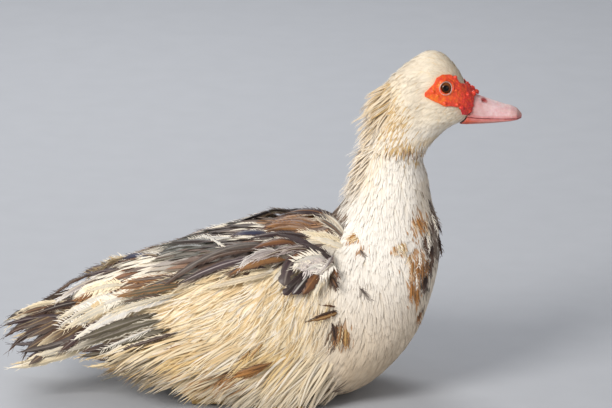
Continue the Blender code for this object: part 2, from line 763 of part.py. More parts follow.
def eye_hole(skin, side):
    """A short rod through the bare skin, as wide as the opening between the lids."""
    _, normal = face_spot(skin, side, EYE.x, EYE.z)
    bm = bmesh.new()
    bmesh.ops.create_cone(
        bm, cap_ends=True, segments=16, radius1=EYE_HOLE, radius2=EYE_HOLE, depth=2 * EYE_RADIUS
    )
    turn = normal.to_track_quat("Z", "Y").to_matrix().to_4x4()
    centre = eye_centre(skin, side) + normal * EYE_RADIUS
    bmesh.ops.transform(bm, matrix=Matrix.Translation(centre) @ turn, verts=bm.verts)
    return object_from(bm, "eye_hole")


def inside_outline(x, z, outline):
    inside = False
    for (x1, z1), (x2, z2) in zip(outline, outline[1:] + outline[:1]):
        if (z1 > z) != (z2 > z) and x < x1 + (z - z1) / (z2 - z1) * (x2 - x1):
            inside = not inside
    return inside


def face_bulbs(skin, side, draw):
    """Small growths set close over one side's bare skin, clear of the lids, larger towards the bill."""
    placed = []
    bulbs = []
    for _ in range(BULB_TRIES):
        x, z = draw.uniform(MASK_REAR_X, MASK_FRONT_X), draw.uniform(MASK_LOW_Z, MASK_TOP_Z)
        ahead = (x - MASK_REAR_X) / (MASK_FRONT_X - MASK_REAR_X)
        radius = BULB_RADIUS * draw.uniform(0.65, 1.25) * mix(0.75, 1.15, ahead)
        from_eye = math.hypot(x - EYE.x, z - EYE.z)
        crowded = any(math.hypot(x - px, z - pz) < BULB_SPACING * (radius + r) for px, pz, r in placed)
        if crowded or from_eye < LID_REACH + radius or not inside_outline(x, z, MASK_OUTLINE):
            continue
        place, normal = face_spot(skin, side, x, z)
        if place is None:
            continue
        placed.append((x, z, radius))
        bulbs.append(bulb(place + normal * (MASK_THICKNESS * BULB_RISE), radius))
        if len(placed) == BULBS_A_SIDE:
            break
    return bulbs


def make_mask(body, head_cutter, skin):
    """Bare red skin over both sides of the face and the bill's base, with bulbs and lids."""
    draw = random.Random(3)
    mask = offset_copy(body, "face_mask", MASK_THICKNESS)
    prism = outline_prism("outline", MASK_OUTLINE, -0.05, 0.05)
    limit = mask.modifiers.new("limit", "BOOLEAN")
    limit.operation = "INTERSECT"
    limit.object = prism
    limit.solver = "MANIFOLD"
    bpy.context.view_layer.update()
    apply_modifiers(mask)
    bpy.data.objects.remove(prism)
    pieces = [mask]
    for side in (-1, 1):
        cut_away(mask, eye_hole(skin, side))
        pieces.append(lid_ring(skin, side))
        pieces += face_bulbs(skin, side, draw)
    for x, z, y, radius in KNOBS:
        pieces.append(bulb(Vector((x, y, z)), radius))
    join_all("face_mask", pieces)
    cut_away(mask, head_cutter, keep_cutter=True)
    cut_away(mask, make_bill("upper_cutter", True, TOUCH_GAP))
    cut_away(mask, make_bill("lower_cutter", False, TOUCH_GAP))
    return mask


def bill_ring(row, upper, grow):
    """Half a bill's section: the arched outside, then the flat side along the mouth line."""
    x, culmen, mouth, chin, half = row
    half += grow
    ring = []
    for i in range(9):
        turn = math.pi * i / 8
        if upper:
            rise = (culmen + grow - mouth) * math.sin(turn) ** 0.8
            ring.append(Vector((x, half * math.cos(turn), mouth + rise)))
        else:
            drop = (mouth - chin + grow - TOUCH_GAP) * math.sin(turn) ** 0.7
            ring.append(Vector((x, -(half - LIP_INSET) * math.cos(turn), mouth - TOUCH_GAP - drop)))
    for t in (0.25, 0.5, 0.75):
        ring.append(ring[8].lerp(ring[0], t))
    return ring


def make_bill(name, upper, grow=0.0):
    rows = [smooth_row(BILL, x) for x in even_steps(BILL[0][0], BILL[-1][0], BILL_RINGS, 0.35)]
    return mesh_from_rings(name, [bill_ring(row, upper, grow) for row in rows])


def tube_mesh(name, points, radii, resolution=2):
    """A closed tube through points, made from a bevelled curve."""
    curve = bpy.data.curves.new(name, "CURVE")
    curve.dimensions = "3D"
    curve.bevel_depth = 1.0
    curve.bevel_resolution = resolution
    curve.use_fill_caps = True
    spline = curve.splines.new("POLY")
    spline.points.add(len(points) - 1)
    for target, point, radius in zip(spline.points, points, radii):
        target.co = (*point, 1.0)
        target.radius = radius
    guide = bpy.data.objects.new(name, curve)
    bpy.context.scene.collection.objects.link(guide)
    bpy.context.view_layer.update()
    graph = bpy.context.evaluated_depsgraph_get()
    mesh = bpy.data.meshes.new_from_object(guide.evaluated_get(graph))
    bm = bmesh.new()
    bm.from_mesh(mesh)
    bmesh.ops.remove_doubles(bm, verts=bm.verts, dist=0.00001)
    bmesh.ops.recalc_face_normals(bm, faces=bm.faces)
    bpy.data.objects.remove(guide)
    return object_from(bm, name)


def bezier_points(points, count):
    """Points of the smooth curve steered by the given points."""
    found = []
    for i in range(count):
        t = i / (count - 1)
        level = [Vector(p) for p in points]
        while len(level) > 1:
            level = [a.lerp(b, t) for a, b in zip(level, level[1:])]
        found.append(level[0])
    return found


def make_leg(side, name, body_cutter):
    """Folded leg: the thigh comes down and back to the heel, the shank lies forward on the floor."""
    hip = (HIP[0], side * HIP[1], HIP[2])
    knee = (KNEE[0], side * KNEE[1], KNEE[2])
    heel = (HEEL_X, side * LEG_Y, HEEL_Z)
    ankle = (ANKLE_X + TOUCH_GAP, side * LEG_Y, ANKLE_Z)
    hind = Vector((ANKLE_X - TOE_RADII[0], side * LEG_Y, TOE_Z))
    turn = math.radians(HIND_TOE_TURN)
    back = Vector((math.cos(turn), -side * math.sin(turn), -TOE_DROP / HIND_TOE_LENGTH))
    hind_tip = hind + back * HIND_TOE_LENGTH
    leg = join_all(name, [
        tube_mesh("thigh", bezier_points([hip, knee, heel], len(THIGH_RADII)), THIGH_RADII),
        tube_mesh("shank", bezier_points([heel, ankle], len(SHANK_RADII)), SHANK_RADII),
        tube_mesh("hind_toe", bezier_points([hind, hind_tip], len(HIND_TOE_RADII)), HIND_TOE_RADII, 1),
    ])
    slice_off(leg, Vector((0, 0, FLOOR)), Vector((0, 0, -1)))
    slice_off(leg, Vector((ANKLE_X, 0, 0)), Vector((1, 0, 0)))
    cut_away(leg, body_cutter, keep_cutter=True)
    return leg


def toe_ends(side, degrees):
    """Root and tip of a front toe, and the way it points."""
    turn = math.radians(degrees)
    root = Vector((ANKLE_X + TOE_RADII[0] / 2, side * LEG_Y, TOE_Z))
    heading = Vector((math.cos(turn), side * math.sin(turn), 0.0))
    reach = TOE_LENGTH * (1.0 if degrees == TOE_TURNS[1] else SIDE_TOE_SHARE)
    return root, root + heading * reach - Vector((0, 0, TOE_DROP)), heading


def make_foot(side, name, body_cutter):
    """Three front toes with webs between them, flat on the floor."""
    pieces = []
    rim = []
    for degrees in TOE_TURNS:
        root, tip, _ = toe_ends(side, degrees)
        pieces.append(tube_mesh("toe", bezier_points([root, tip], len(TOE_RADII)), TOE_RADII, 1))
        rim.append(root.lerp(tip, WEB_REACH))
    web = [root]
    for one, two in zip(rim, rim[1:]):
        web.append(one)
        web.append(one.lerp(two, 0.5) - Vector((WEB_NOTCH, 0, 0)))
    web.append(rim[-1])
    low = [Vector((p.x, p.y, FLOOR)) for p in web]
    high = [Vector((p.x, p.y, FLOOR + WEB_THICKNESS)) for p in web]
    pieces.append(mesh_from_rings("web", [low, high]))
    foot = join_all(name, pieces)
    slice_off(foot, Vector((0, 0, FLOOR)), Vector((0, 0, -1)))
    slice_off(foot, Vector((ANKLE_X + TOUCH_GAP, 0, 0)), Vector((-1, 0, 0)))
    cut_away(foot, body_cutter, keep_cutter=True)
    return foot


def make_claw(name, tip_of_toe, heading):
    """A short claw that curves down to a blunt point."""
    root = tip_of_toe + heading * TOUCH_GAP
    across = heading.cross(Vector((0, 0, 1)))
    rings = []
    for t in (0.0, 0.35, 0.7, 1.0):
        radius = CLAW_RADIUS * (1 - CLAW_TAPER * t)
        hook = CLAW_HOOK * (math.sin(math.pi * t) - t)
        centre = root + heading * (CLAW_LENGTH * t) + Vector((0, 0, hook))
        ring = []
        for i in range(6):
            turn = 2 * math.pi * i / 6
            ring.append(centre + across * (radius * math.cos(turn)) + Vector((0, 0, radius * math.sin(turn))))
        rings.append(ring)
    return mesh_from_rings(name, rings)


def make_claws(side, tag):
    claws = []
    for degrees, toe in zip(TOE_TURNS, ("inner", "middle", "outer")):
        _, tip, heading = toe_ends(side, degrees)
        claws.append(make_claw(f"claw_{toe}_{tag}", tip, heading))
    return claws


def finish(obj, colour):
    obj.data.materials.clear()
    obj.data.materials.append(material_named(colour))
    obj.data.shade_smooth()
    obj.data.set_sharp_from_angle(angle=math.radians(38))


def main():
    clear_scene()
    body = make_body()
    body_cutter = offset_copy(body, "body_cutter", TOUCH_GAP)
    skin = BVHTree.FromObject(body, bpy.context.evaluated_depsgraph_get())

    wings = [make_wing(-1, "wing_right", body_cutter), make_wing(1, "wing_left", body_cutter)]
    tail = make_tail(body_cutter)
    legs = [make_leg(-1, "leg_right", body_cutter), make_leg(1, "leg_left", body_cutter)]
    feet = [make_foot(-1, "foot_right", body_cutter), make_foot(1, "foot_left", body_cutter)]
    claws = make_claws(-1, "right") + make_claws(1, "left")

    mask = make_mask(body, body_cutter, skin)
    slice_off(body, Vector((0, 0, FLOOR)), Vector((0, 0, -1)))
    bill_upper = make_bill("bill_upper", True)
    cut_away(bill_upper, body_cutter, keep_cutter=True)
    for side in (-1, 1):
        centre = Vector((NOSTRIL.x, side * NOSTRIL.y, NOSTRIL.z))
        cut_away(bill_upper, ball("nostril", centre, NOSTRIL_SIZE, 10, 6))
    bill_lower = make_bill("bill_lower", False)
    cut_away(bill_lower, body_cutter, keep_cutter=True)
    eyes = []
    for side, name in ((-1, "eye_right"), (1, "eye_left")):
        eyes.append(ball(name, eye_centre(skin, side), EYE_RADIUS, 14, 9))

    cut_line = (THROAT_CUT - NAPE_CUT).normalized()
    head_up = Vector((-cut_line.z, 0, cut_line.x))
    up = Vector((0, 0, 1))
    half_gap = TOUCH_GAP / 2
    torso = slice_off(copy_of(body, "torso"), Vector((0, 0, NECK_BASE_Z - half_gap)), up)
    neck = join_all("neck", [copy_of(body, "neck")] + nape_locks(*NECK_LOCKS, 21))
    slice_off(neck, Vector((0, 0, NECK_BASE_Z + half_gap)), -up)
    slice_off(neck, NAPE_CUT - head_up * half_gap, head_up)
    head = join_all("head", [body] + nape_locks(*HEAD_LOCKS, 22))
    slice_off(head, NAPE_CUT + head_up * half_gap, -head_up)
    for side in (-1, 1):
        cut_away(head, ball("socket", eye_centre(skin, side), EYE_RADIUS + TOUCH_GAP, 14, 9))
    bpy.data.objects.remove(body_cutter)

    finish(torso, "white")
    finish(neck, "white")
    finish(head, "cream")
    finish(mask, "red")
    finish(tail, "pied")
    finish(bill_upper, "pink")
    finish(bill_lower, "pink")
    for obj in wings:
        finish(obj, "pied")
    for obj in eyes:
        finish(obj, "eye")
    for obj in legs + feet:
        finish(obj, "shank")
    for obj in claws:
        finish(obj, "claw")
    duck = new_collection("muscovy_duck")
    for obj in list(bpy.context.scene.collection.objects):
        bpy.context.scene.collection.objects.unlink(obj)
        duck.objects.link(obj)


main()
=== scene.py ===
import math

import bpy
import numpy as np
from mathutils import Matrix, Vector
from mathutils.bvhtree import BVHTree


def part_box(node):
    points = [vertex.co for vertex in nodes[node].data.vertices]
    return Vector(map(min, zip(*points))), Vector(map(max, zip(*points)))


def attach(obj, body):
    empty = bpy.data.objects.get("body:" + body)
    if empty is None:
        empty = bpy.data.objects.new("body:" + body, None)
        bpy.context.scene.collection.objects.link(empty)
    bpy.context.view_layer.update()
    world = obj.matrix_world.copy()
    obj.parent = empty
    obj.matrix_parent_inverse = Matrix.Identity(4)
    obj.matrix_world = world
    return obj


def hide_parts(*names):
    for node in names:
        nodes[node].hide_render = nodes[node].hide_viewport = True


# Muscovy duck hen resting on the floor: skin, plumage, bare face, bill, eyes and feet round the frame.
# Metres, bill towards +X, her right side towards -Y.
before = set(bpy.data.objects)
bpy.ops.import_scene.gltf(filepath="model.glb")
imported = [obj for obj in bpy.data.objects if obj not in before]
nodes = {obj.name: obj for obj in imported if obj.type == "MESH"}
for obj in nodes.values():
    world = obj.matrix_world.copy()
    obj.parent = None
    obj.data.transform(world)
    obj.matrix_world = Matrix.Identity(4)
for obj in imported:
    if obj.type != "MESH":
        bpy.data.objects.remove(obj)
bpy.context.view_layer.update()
bpy.ops.object.select_all(action="DESELECT")

camera = {
    "elevation": 16.0,          # degrees above the bird
    "target": (0.0406, 0.0, 0.1724),
    "distance": 6.0,            # a long lens
    "pixel": 0.0009,            # one pixel of the photo, at the bird's middle
    "middlePixel": 262.0,       # photo column of x = 0
    "floorRow": 388.1,          # photo row of the floor on the bird's middle plane
    "photoWidth": 612,
    "sensor": 36.0,
}
sides = ((-1, "Right"), (1, "Left"))
tilt = math.radians(camera["elevation"])
viewWay = Vector((0.0, math.cos(tilt), -math.sin(tilt)))
slope = math.tan(tilt)


def fromPhoto(column, row):
    # a photo pixel as x and height on the bird's middle plane
    x = (column - camera["middlePixel"]) * camera["pixel"]
    rise = (camera["floorRow"] - row) * camera["pixel"] / math.cos(tilt)
    return x, rise


def smooth(low, high, value):
    t = np.clip((np.asarray(value) - low) / (high - low), 0.0, 1.0)
    return t * t * (3 - 2 * t)


def fade(low, high, value):
    return 1 - smooth(low, high, value)


def blend(a, b, share):
    # numbers or colours, a at share 0 and b at share 1
    share = np.asarray(share)
    if np.ndim(b) > share.ndim or np.ndim(a) > share.ndim:
        share = share[..., None]
    return a + (b - a) * share


def unit(vectors):
    return vectors / np.maximum(np.linalg.norm(vectors, axis=-1, keepdims=True), 1e-9)


# Shader maths as expressions: a Value is an output socket, and each operator adds its Math node
class Value:
    def __init__(self, paint, socket):
        self.paint = paint
        self.socket = socket

    def math(self, operation, first, second):
        return self.paint.node("ShaderNodeMath", {"operation": operation}, {0: first, 1: second})

    def __add__(self, other):
        return self.math("ADD", self, other)

    def __sub__(self, other):
        return self.math("SUBTRACT", self, other)

    def __rsub__(self, other):
        return self.math("SUBTRACT", other, self)

    def __mul__(self, other):
        return self.math("MULTIPLY", self, other)

    __radd__ = __add__
    __rmul__ = __mul__


class Paint:
    def __init__(self, name, fixed):
        self.material = bpy.data.materials.new(name)
        self.material.use_nodes = True
        self.tree = self.material.node_tree
        self.shader = self.tree.nodes["Principled BSDF"]
        for socket, value in fixed.items():
            self.shader.inputs[socket].default_value = value

    def feed(self, socket, value):
        if isinstance(value, Value):
            self.tree.links.new(value.socket, socket)
        else:
            socket.default_value = value

    def node(self, kind, settings=None, inputs=None, output=0):
        made = self.tree.nodes.new(kind)
        for key, value in (settings or {}).items():
            if key == "stops":
                for element, (place, colour) in zip(made.color_ramp.elements, value[:2]):
                    element.position, element.color = place, (*colour, 1.0)
                for place, colour in value[2:]:
                    made.color_ramp.elements.new(place).color = (*colour, 1.0)
            else:
                setattr(made, key, value)
        for key, value in (inputs or {}).items():
            self.feed(made.inputs[key], value)
        return Value(self, made.outputs[output])

    def mixed(self, share, first, second, mode="MIX"):
        inputs = {0: share, 6: first, 7: second}
        return self.node("ShaderNodeMix", {"data_type": "RGBA", "blend_type": mode}, inputs, 2)

    def scaled(self, vector, scale):
        return self.node("ShaderNodeVectorMath", {"operation": "MULTIPLY"}, {0: vector, 1: scale})

    def objectPlace(self):
        return self.node("ShaderNodeTexCoord", output="Object")

    def attribute(self, name, output="Color"):
        return self.node("ShaderNodeAttribute", {"attribute_name": name}, output=output)

    def ramp(self, stops, value):
        return self.node("ShaderNodeValToRGB", {"stops": stops}, {0: value})

    def shaded(self, colour, red, green=None, blue=None):
        inputs = {0: red, 1: red if green is None else green, 2: red if blue is None else blue}
        return self.mixed(1.0, colour, self.node("ShaderNodeCombineColor", {}, inputs), "MULTIPLY")

    def noise(self, place, scale, detail=2.0, roughness=0.5):
        inputs = {"Vector": place, "Scale": scale, "Detail": detail, "Roughness": roughness}
        return self.node("ShaderNodeTexNoise", {}, inputs)

    def bump(self, height, distance, strength=1.0):
        inputs = {"Height": height, "Distance": distance, "Strength": strength}
        return self.node("ShaderNodeBump", {}, inputs)

    def finish(self, **sockets):
        for name, value in sockets.items():
            self.feed(self.shader.inputs[name.replace("_", " ")], value)
        return self.material


# Colours of the plumage, as light reflected in red, green and blue
palette = {
    "cream": (0.92, 0.78, 0.54), "pale": (0.92, 0.84, 0.70), "buff": (0.84, 0.62, 0.30),
    "white": (0.94, 0.90, 0.84), "ivory": (0.93, 0.84, 0.68), "beige": (0.82, 0.68, 0.49),
    "gold": (0.84, 0.62, 0.29), "ochre": (0.40, 0.19, 0.065), "rust": (0.24, 0.100, 0.040),
    "brown": (0.115, 0.060, 0.037), "dark": (0.038, 0.021, 0.018), "purple": (0.066, 0.037, 0.043),
    "olive": (0.135, 0.112, 0.066), "slate": (0.118, 0.092, 0.080), "straw": (0.62, 0.40, 0.15),
    "bone": (0.80, 0.73, 0.60), "lilac": (0.62, 0.54, 0.52), "blue": (0.060, 0.070, 0.140),
    "green": (0.034, 0.038, 0.024), "amber": (0.50, 0.225, 0.060), "grey": (0.36, 0.31, 0.27),
    "fawn": (0.66, 0.51, 0.34), "crown": (0.87, 0.78, 0.64),
}


def tone(name):
    return np.array(palette[name])


def plumagePaint(name, alongShaft):
    # tone and gloss come from the mesh, streaks from the vane's own map (millimetres from its shaft and root)
    sheen = 0.10 if alongShaft else 0.03
    paint = Paint(name, {
        "Specular IOR Level": 0.35, "Sheen Weight": sheen, "Sheen Roughness": 0.5, "Coat Roughness": 0.25,
    })
    colour = paint.attribute("tone")
    gloss = paint.attribute("gloss", "Fac")
    vane = paint.node("ShaderNodeUVMap", {"uv_map": "vane"})
    stretch = (3.2, 0.16, 1.0) if alongShaft else (0.45, 2.2, 1.0)
    streaks = paint.noise(paint.scaled(vane, stretch), 1.0, 3.0, 0.6)
    if not alongShaft:
        streaks = streaks * 0.4 + paint.noise(paint.scaled(vane, (0.16, 0.75, 1.0)), 1.0, 3.0, 0.7) * 0.6
    clouds = paint.noise(paint.objectPlace(), 55.0, 2.0)
    contrast = 0.46 if alongShaft else 1.10
    shade = 0.94 - contrast / 2 + streaks * contrast + clouds * 0.12
    base = paint.shaded(colour, shade)
    rough = 0.84 - gloss * 0.42 - streaks * 0.16
    height = paint.bump(streaks, 0.00006, 0.7)
    return paint.finish(Base_Color=base, Roughness=rough, Coat_Weight=gloss * 0.35, Normal=height)


tuftMaterial = plumagePaint("plumageTuft", True)
vaneMaterial = plumagePaint("plumageVane", False)


def newObject(name, data):
    made = bpy.data.objects.new(name, data)
    bpy.context.scene.collection.objects.link(made)
    return made


def newest():
    return bpy.context.view_layer.objects.active


def activate(piece):
    bpy.ops.object.select_all(action="DESELECT")
    piece.select_set(True)
    bpy.context.view_layer.objects.active = piece


def applyModifier(piece, kind, **settings):
    activate(piece)
    added = piece.modifiers.new(kind.lower(), kind)
    for key, value in settings.items():
        setattr(added, key, value)
    bpy.ops.object.modifier_apply(modifier=added.name)


def remesh(piece, size):
    applyModifier(piece, "REMESH", mode="VOXEL", voxel_size=size)


def relax(piece, rounds, group=""):
    applyModifier(piece, "SMOOTH", factor=0.5, iterations=rounds, vertex_group=group)


def copyNodes(name, *nodeNames):
    # one mesh from copies of frame nodes, their loose triangles merged
    twins = []
    for nodeName in nodeNames:
        twins.append(newObject(name, nodes[nodeName].data.copy()))
    bpy.ops.object.select_all(action="DESELECT")
    for twin in twins:
        twin.select_set(True)
    bpy.context.view_layer.objects.active = twins[0]
    if len(twins) > 1:
        bpy.ops.object.join()
    piece = newest()
    piece.name = name
    bpy.ops.object.mode_set(mode="EDIT")
    bpy.ops.mesh.select_all(action="SELECT")
    bpy.ops.mesh.remove_doubles(threshold=0.00001)
    bpy.ops.object.mode_set(mode="OBJECT")
    piece.data.materials.clear()
    return piece


def softened(name, node, settings):
    # a fine even copy of one node, its facets smoothed away
    piece = copyNodes(name, node)
    remesh(piece, settings["voxel"])
    relax(piece, settings["rounds"])
    applyModifier(piece, "TRIANGULATE")
    piece.data.shade_smooth()
    return piece


def treeOf(*nodeNames):
    # the frame's own surface, to cast rays on
    places, faces = [], []
    for nodeName in nodeNames:
        mesh = nodes[nodeName].data
        start = len(places)
        places += [vertex.co.copy() for vertex in mesh.vertices]
        faces += [[start + i for i in polygon.vertices] for polygon in mesh.polygons]
    return BVHTree.FromPolygons(places, faces)


def pointsOf(mesh):
    places = np.empty(len(mesh.vertices) * 3, np.float32)
    mesh.vertices.foreach_get("co", places)
    return places.reshape(-1, 3).astype(float)


def normalsOf(mesh):
    found = np.empty(len(mesh.vertices) * 3, np.float32)
    mesh.vertex_normals.foreach_get("vector", found)
    return found.reshape(-1, 3).astype(float)


def setPoints(mesh, places):
    mesh.vertices.foreach_set("co", places.astype(np.float32).ravel())
    mesh.update()


def setTone(mesh, tones):
    attribute = mesh.attributes.new("tone", "FLOAT_COLOR", "POINT")
    colours = np.concatenate([np.clip(tones, 0, 1), np.ones((len(tones), 1))], axis=1)
    attribute.data.foreach_set("color", colours.astype(np.float32).ravel())


def setNumber(mesh, numbers, name):
    attribute = mesh.attributes.new(name, "FLOAT", "POINT")
    attribute.data.foreach_set("value", np.asarray(numbers, np.float32))


def place(piece, slot, *replaced):
    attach(piece, "root")
    if replaced:
        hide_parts(*replaced)
    return piece


# Flesh: one skin for torso, neck, head and the flesh of the folded wings
flesh = {
    "voxel": 0.0025, "rounds": 12,
    "inset": 0.0024,            # depth of the coat over the skin
    "faceInset": 0.0009,        # and round the bare face
    "napeRounds": 60,           # smooths away the frame's solid nape locks, which the crest's wisps replace
    "napeSwell": 0.0012,
    "nape": (0.160, 0.175), "napeTop": (0.300, 0.312), "napeFront": (0.134, 0.148),
    "face": (0.140, 0.156), "faceLow": (0.245, 0.257),          # where the skin keeps the frame's shape
    "faceKept": 0.8,
    "wingRear": -0.160, "wingFront": 0.088,
    "wingFullness": 0.74,       # wing flesh, as a share of the way from the torso to the folded feathers
    "wingRounds": 6, "wingSink": 0.001, "castFrom": 0.2, "stations": 40, "spokes": 64,
    "axis": ((-0.17, 0.080), (-0.10, 0.074), (0.0, 0.072), (0.09, 0.085)),      # x, height of its middle
}


def castRing(tree, x, height, angles):
    # distance from the torso's axis to the frame's surface, from outside
    found = []
    for angle in angles:
        way = Vector((0.0, math.sin(angle), math.cos(angle)))
        start = Vector((x, 0.0, height)) + way * flesh["castFrom"]
        hit = tree.ray_cast(start, -way)[0]
        found.append(flesh["castFrom"] - (start - hit).length if hit else 0.0)
    return found


def wingBed(name):
    # the torso swelled on both sides towards the folded wings
    torso = treeOf("torso")
    wings = treeOf("torso", "wing_right", "wing_left")
    stations = np.linspace(flesh["wingRear"], flesh["wingFront"], flesh["stations"])
    angles = np.linspace(0, 2 * math.pi, flesh["spokes"], endpoint=False)
    heights = np.interp(stations, *np.array(flesh["axis"]).T)
    inner = np.array([castRing(torso, x, h, angles) for x, h in zip(stations, heights)])
    outer = np.array([castRing(wings, x, h, angles) for x, h in zip(stations, heights)])
    swell = np.maximum(outer - inner, 0.0)
    for _ in range(flesh["wingRounds"]):
        swell = (swell + np.roll(swell, 1, 1) + np.roll(swell, -1, 1)) / 3
        swell[1:-1] = (swell[:-2] + swell[1:-1] * 2 + swell[2:]) / 4
    ends = np.sin(np.pi * np.linspace(0, 1, len(stations))) ** 0.5
    reach = inner + swell * flesh["wingFullness"] * ends[:, None] - flesh["wingSink"]
    places = []
    for x, h, ring in zip(stations, heights, reach):
        places += [(x, r * math.sin(a), h + r * math.cos(a)) for r, a in zip(ring, angles)]
    count = len(angles)
    faces = []
    for i in range(len(stations) - 1):
        for j in range(count):
            k = (j + 1) % count
            faces.append((i * count + j, i * count + k, (i + 1) * count + k, (i + 1) * count + j))
    faces.append(tuple(range(count))[::-1])
    faces.append(tuple((len(stations) - 1) * count + j for j in range(count)))
    mesh = bpy.data.meshes.new(name)
    mesh.from_pydata(places, [], faces)
    return newObject(name, mesh)


def onNapeSkin(places):
    band = smooth(*flesh["nape"], places[:, 2]) * fade(*flesh["napeTop"], places[:, 2])
    return band * fade(*flesh["napeFront"], places[:, 0])


def largestPart(piece):
    # the piece without the crumbs that the smoothed locks leave
    name = piece.name
    activate(piece)
    bpy.ops.mesh.separate(type="LOOSE")
    parts = list(bpy.context.selected_objects)
    kept = max(parts, key=lambda part: len(part.data.vertices))
    for part in parts:
        if part != kept:
            bpy.data.objects.remove(part)
    kept.name = name
    activate(kept)
    return kept


def makeSkin():
    skin = copyNodes("duckSkin", "torso", "neck", "head")
    bed = wingBed("wingBed")
    bed.select_set(True)
    bpy.ops.object.join()
    remesh(skin, flesh["voxel"])
    nape = onNapeSkin(pointsOf(skin.data))
    group = skin.vertex_groups.new(name="nape")
    for index in np.flatnonzero(nape > 0.02):
        group.add([int(index)], float(nape[index]), "REPLACE")
    relax(skin, flesh["napeRounds"], "nape")
    skin.vertex_groups.clear()
    remesh(skin, flesh["voxel"])
    skin = largestPart(skin)
    before = pointsOf(skin.data)
    nape = onNapeSkin(before)
    relax(skin, flesh["rounds"])
    places, outwards = pointsOf(skin.data), normalsOf(skin.data)
    nearFace = smooth(*flesh["face"], before[:, 0]) * smooth(*flesh["faceLow"], before[:, 2])
    depth = blend(flesh["inset"], flesh["faceInset"], nearFace)
    depth = depth - nape * flesh["napeSwell"]
    places = blend(places, before, nearFace * flesh["faceKept"])
    setPoints(skin.data, places - outwards * depth[:, None])
    applyModifier(skin, "TRIANGULATE")
    activate(skin)
    bpy.ops.object.shade_smooth()
    bpy.ops.object.mode_set(mode="EDIT")
    bpy.ops.mesh.select_all(action="SELECT")
    bpy.ops.uv.smart_project(angle_limit=math.radians(66), island_margin=0.004)
    bpy.ops.object.mode_set(mode="OBJECT")
    skin.data.uv_layers[0].name = "OFBake"
    return skin


skin = makeSkin()
print("skin", len(skin.data.polygons), "triangles")

skinPoints = pointsOf(skin.data)
corners = np.empty(len(skin.data.polygons) * 3, np.int32)
skin.data.polygons.foreach_get("vertices", corners)
corners = corners.reshape(-1, 3)
cornerMaps = np.empty(len(skin.data.loops) * 2, np.float32)
skin.data.uv_layers["OFBake"].data.foreach_get("uv", cornerMaps)
cornerMaps = cornerMaps.reshape(-1, 3, 2)
vertexNormals = normalsOf(skin.data)
edgeOne = skinPoints[corners[:, 1]] - skinPoints[corners[:, 0]]
edgeTwo = skinPoints[corners[:, 2]] - skinPoints[corners[:, 0]]
faceAreas = np.linalg.norm(np.cross(edgeOne, edgeTwo), axis=1) / 2
skinTree = BVHTree.FromPolygons([Vector(p) for p in skinPoints], corners.tolist())


def nearestSkin(places):
    # place, outward direction and bake map of the skin nearest to each point
    found = [skinTree.find_nearest(point) for point in places.tolist()]
    spots = np.array([hit[0][:] for hit in found])
    index = np.array([hit[2] for hit in found])
    gaps = np.linalg.norm(skinPoints[corners[index]] - spots[:, None], axis=2) + 1e-6
    shares = 1 / gaps
    shares /= shares.sum(axis=1, keepdims=True)
    ups = unit(np.einsum("ij,ijk->ik", shares, vertexNormals[corners[index]]))
    maps = np.einsum("ij,ijk->ik", shares, cornerMaps[index])
    return spots, ups, maps


def scatter(cell, seed, keep):
    # places spread evenly over the skin, about one in each square cell, where keep allows
    draw = np.random.default_rng(seed)
    count = int(faceAreas.sum() / cell ** 2 * 4)
    picked = draw.choice(len(faceAreas), count, p=faceAreas / faceAreas.sum())
    a, b = draw.random((2, count))
    over = a + b > 1
    a[over], b[over] = 1 - a[over], 1 - b[over]
    shares = np.stack([1 - a - b, a, b], axis=1)
    places = np.einsum("ij,ijk->ik", shares, skinPoints[corners[picked]])
    ups = unit(np.einsum("ij,ijk->ik", shares, vertexNormals[corners[picked]]))
    maps = np.einsum("ij,ijk->ik", shares, cornerMaps[picked])
    wanted = keep(places, ups) > draw.random(count)
    places, ups, maps = places[wanted], ups[wanted], maps[wanted]
    keys = np.floor(places / cell + draw.random(3)).astype(int)
    first = np.unique(keys, axis=0, return_index=True)[1]
    return places[first], ups[first], maps[first]


# Bare face outline from the side, as in the frame
faceOutline = (
    (0.1463, 0.2823), (0.1545, 0.2900), (0.1570, 0.2950), (0.1620, 0.2976), (0.1690, 0.2972),
    (0.1745, 0.2932), (0.1792, 0.2868), (0.1850, 0.2840), (0.2050, 0.2820), (0.2050, 0.2500),
    (0.1900, 0.2520), (0.1840, 0.2590), (0.1800, 0.2605), (0.1780, 0.2670), (0.1715, 0.2690),
    (0.1640, 0.2695), (0.1590, 0.2725), (0.1525, 0.2755), (0.1465, 0.2790),
)


def onBareFace(places):
    x, z = places[:, 0], places[:, 2]
    inside = np.zeros(len(places), bool)
    for (x1, z1), (x2, z2) in zip(faceOutline, faceOutline[1:] + faceOutline[:1]):
        crosses = (z1 > z) != (z2 > z)
        inside ^= crosses & (x < x1 + (z - z1) / (z2 - z1 + 1e-12) * (x2 - x1))
    return inside


# Lie of the coat: degrees below straight back, along the body
lie = {
    "columns": (-0.24, -0.12, -0.06, -0.01, 0.03, 0.07, 0.10, 0.14),
    "fall": (10.0, 14.0, 26.0, 44.0, 60.0, 78.0, 92.0, 98.0),
    "bellyLow": 0.020,
    "bellyHigh": 0.082,
    "bellyFall": (3.0, 3.0, 5.0, 12.0, 26.0, 50.0, 60.0, 66.0),
    "neck": (0.150, 0.185), "neckFront": (0.03, 0.06),          # where it hangs straight down
    "head": (0.214, 0.242),     # above this it runs away from the base of the bill
    "billBase": (0.192, 0.0, 0.272),
    "headFall": 1.25, "headReach": (0.025, 0.085),              # and turns down this far from it
}


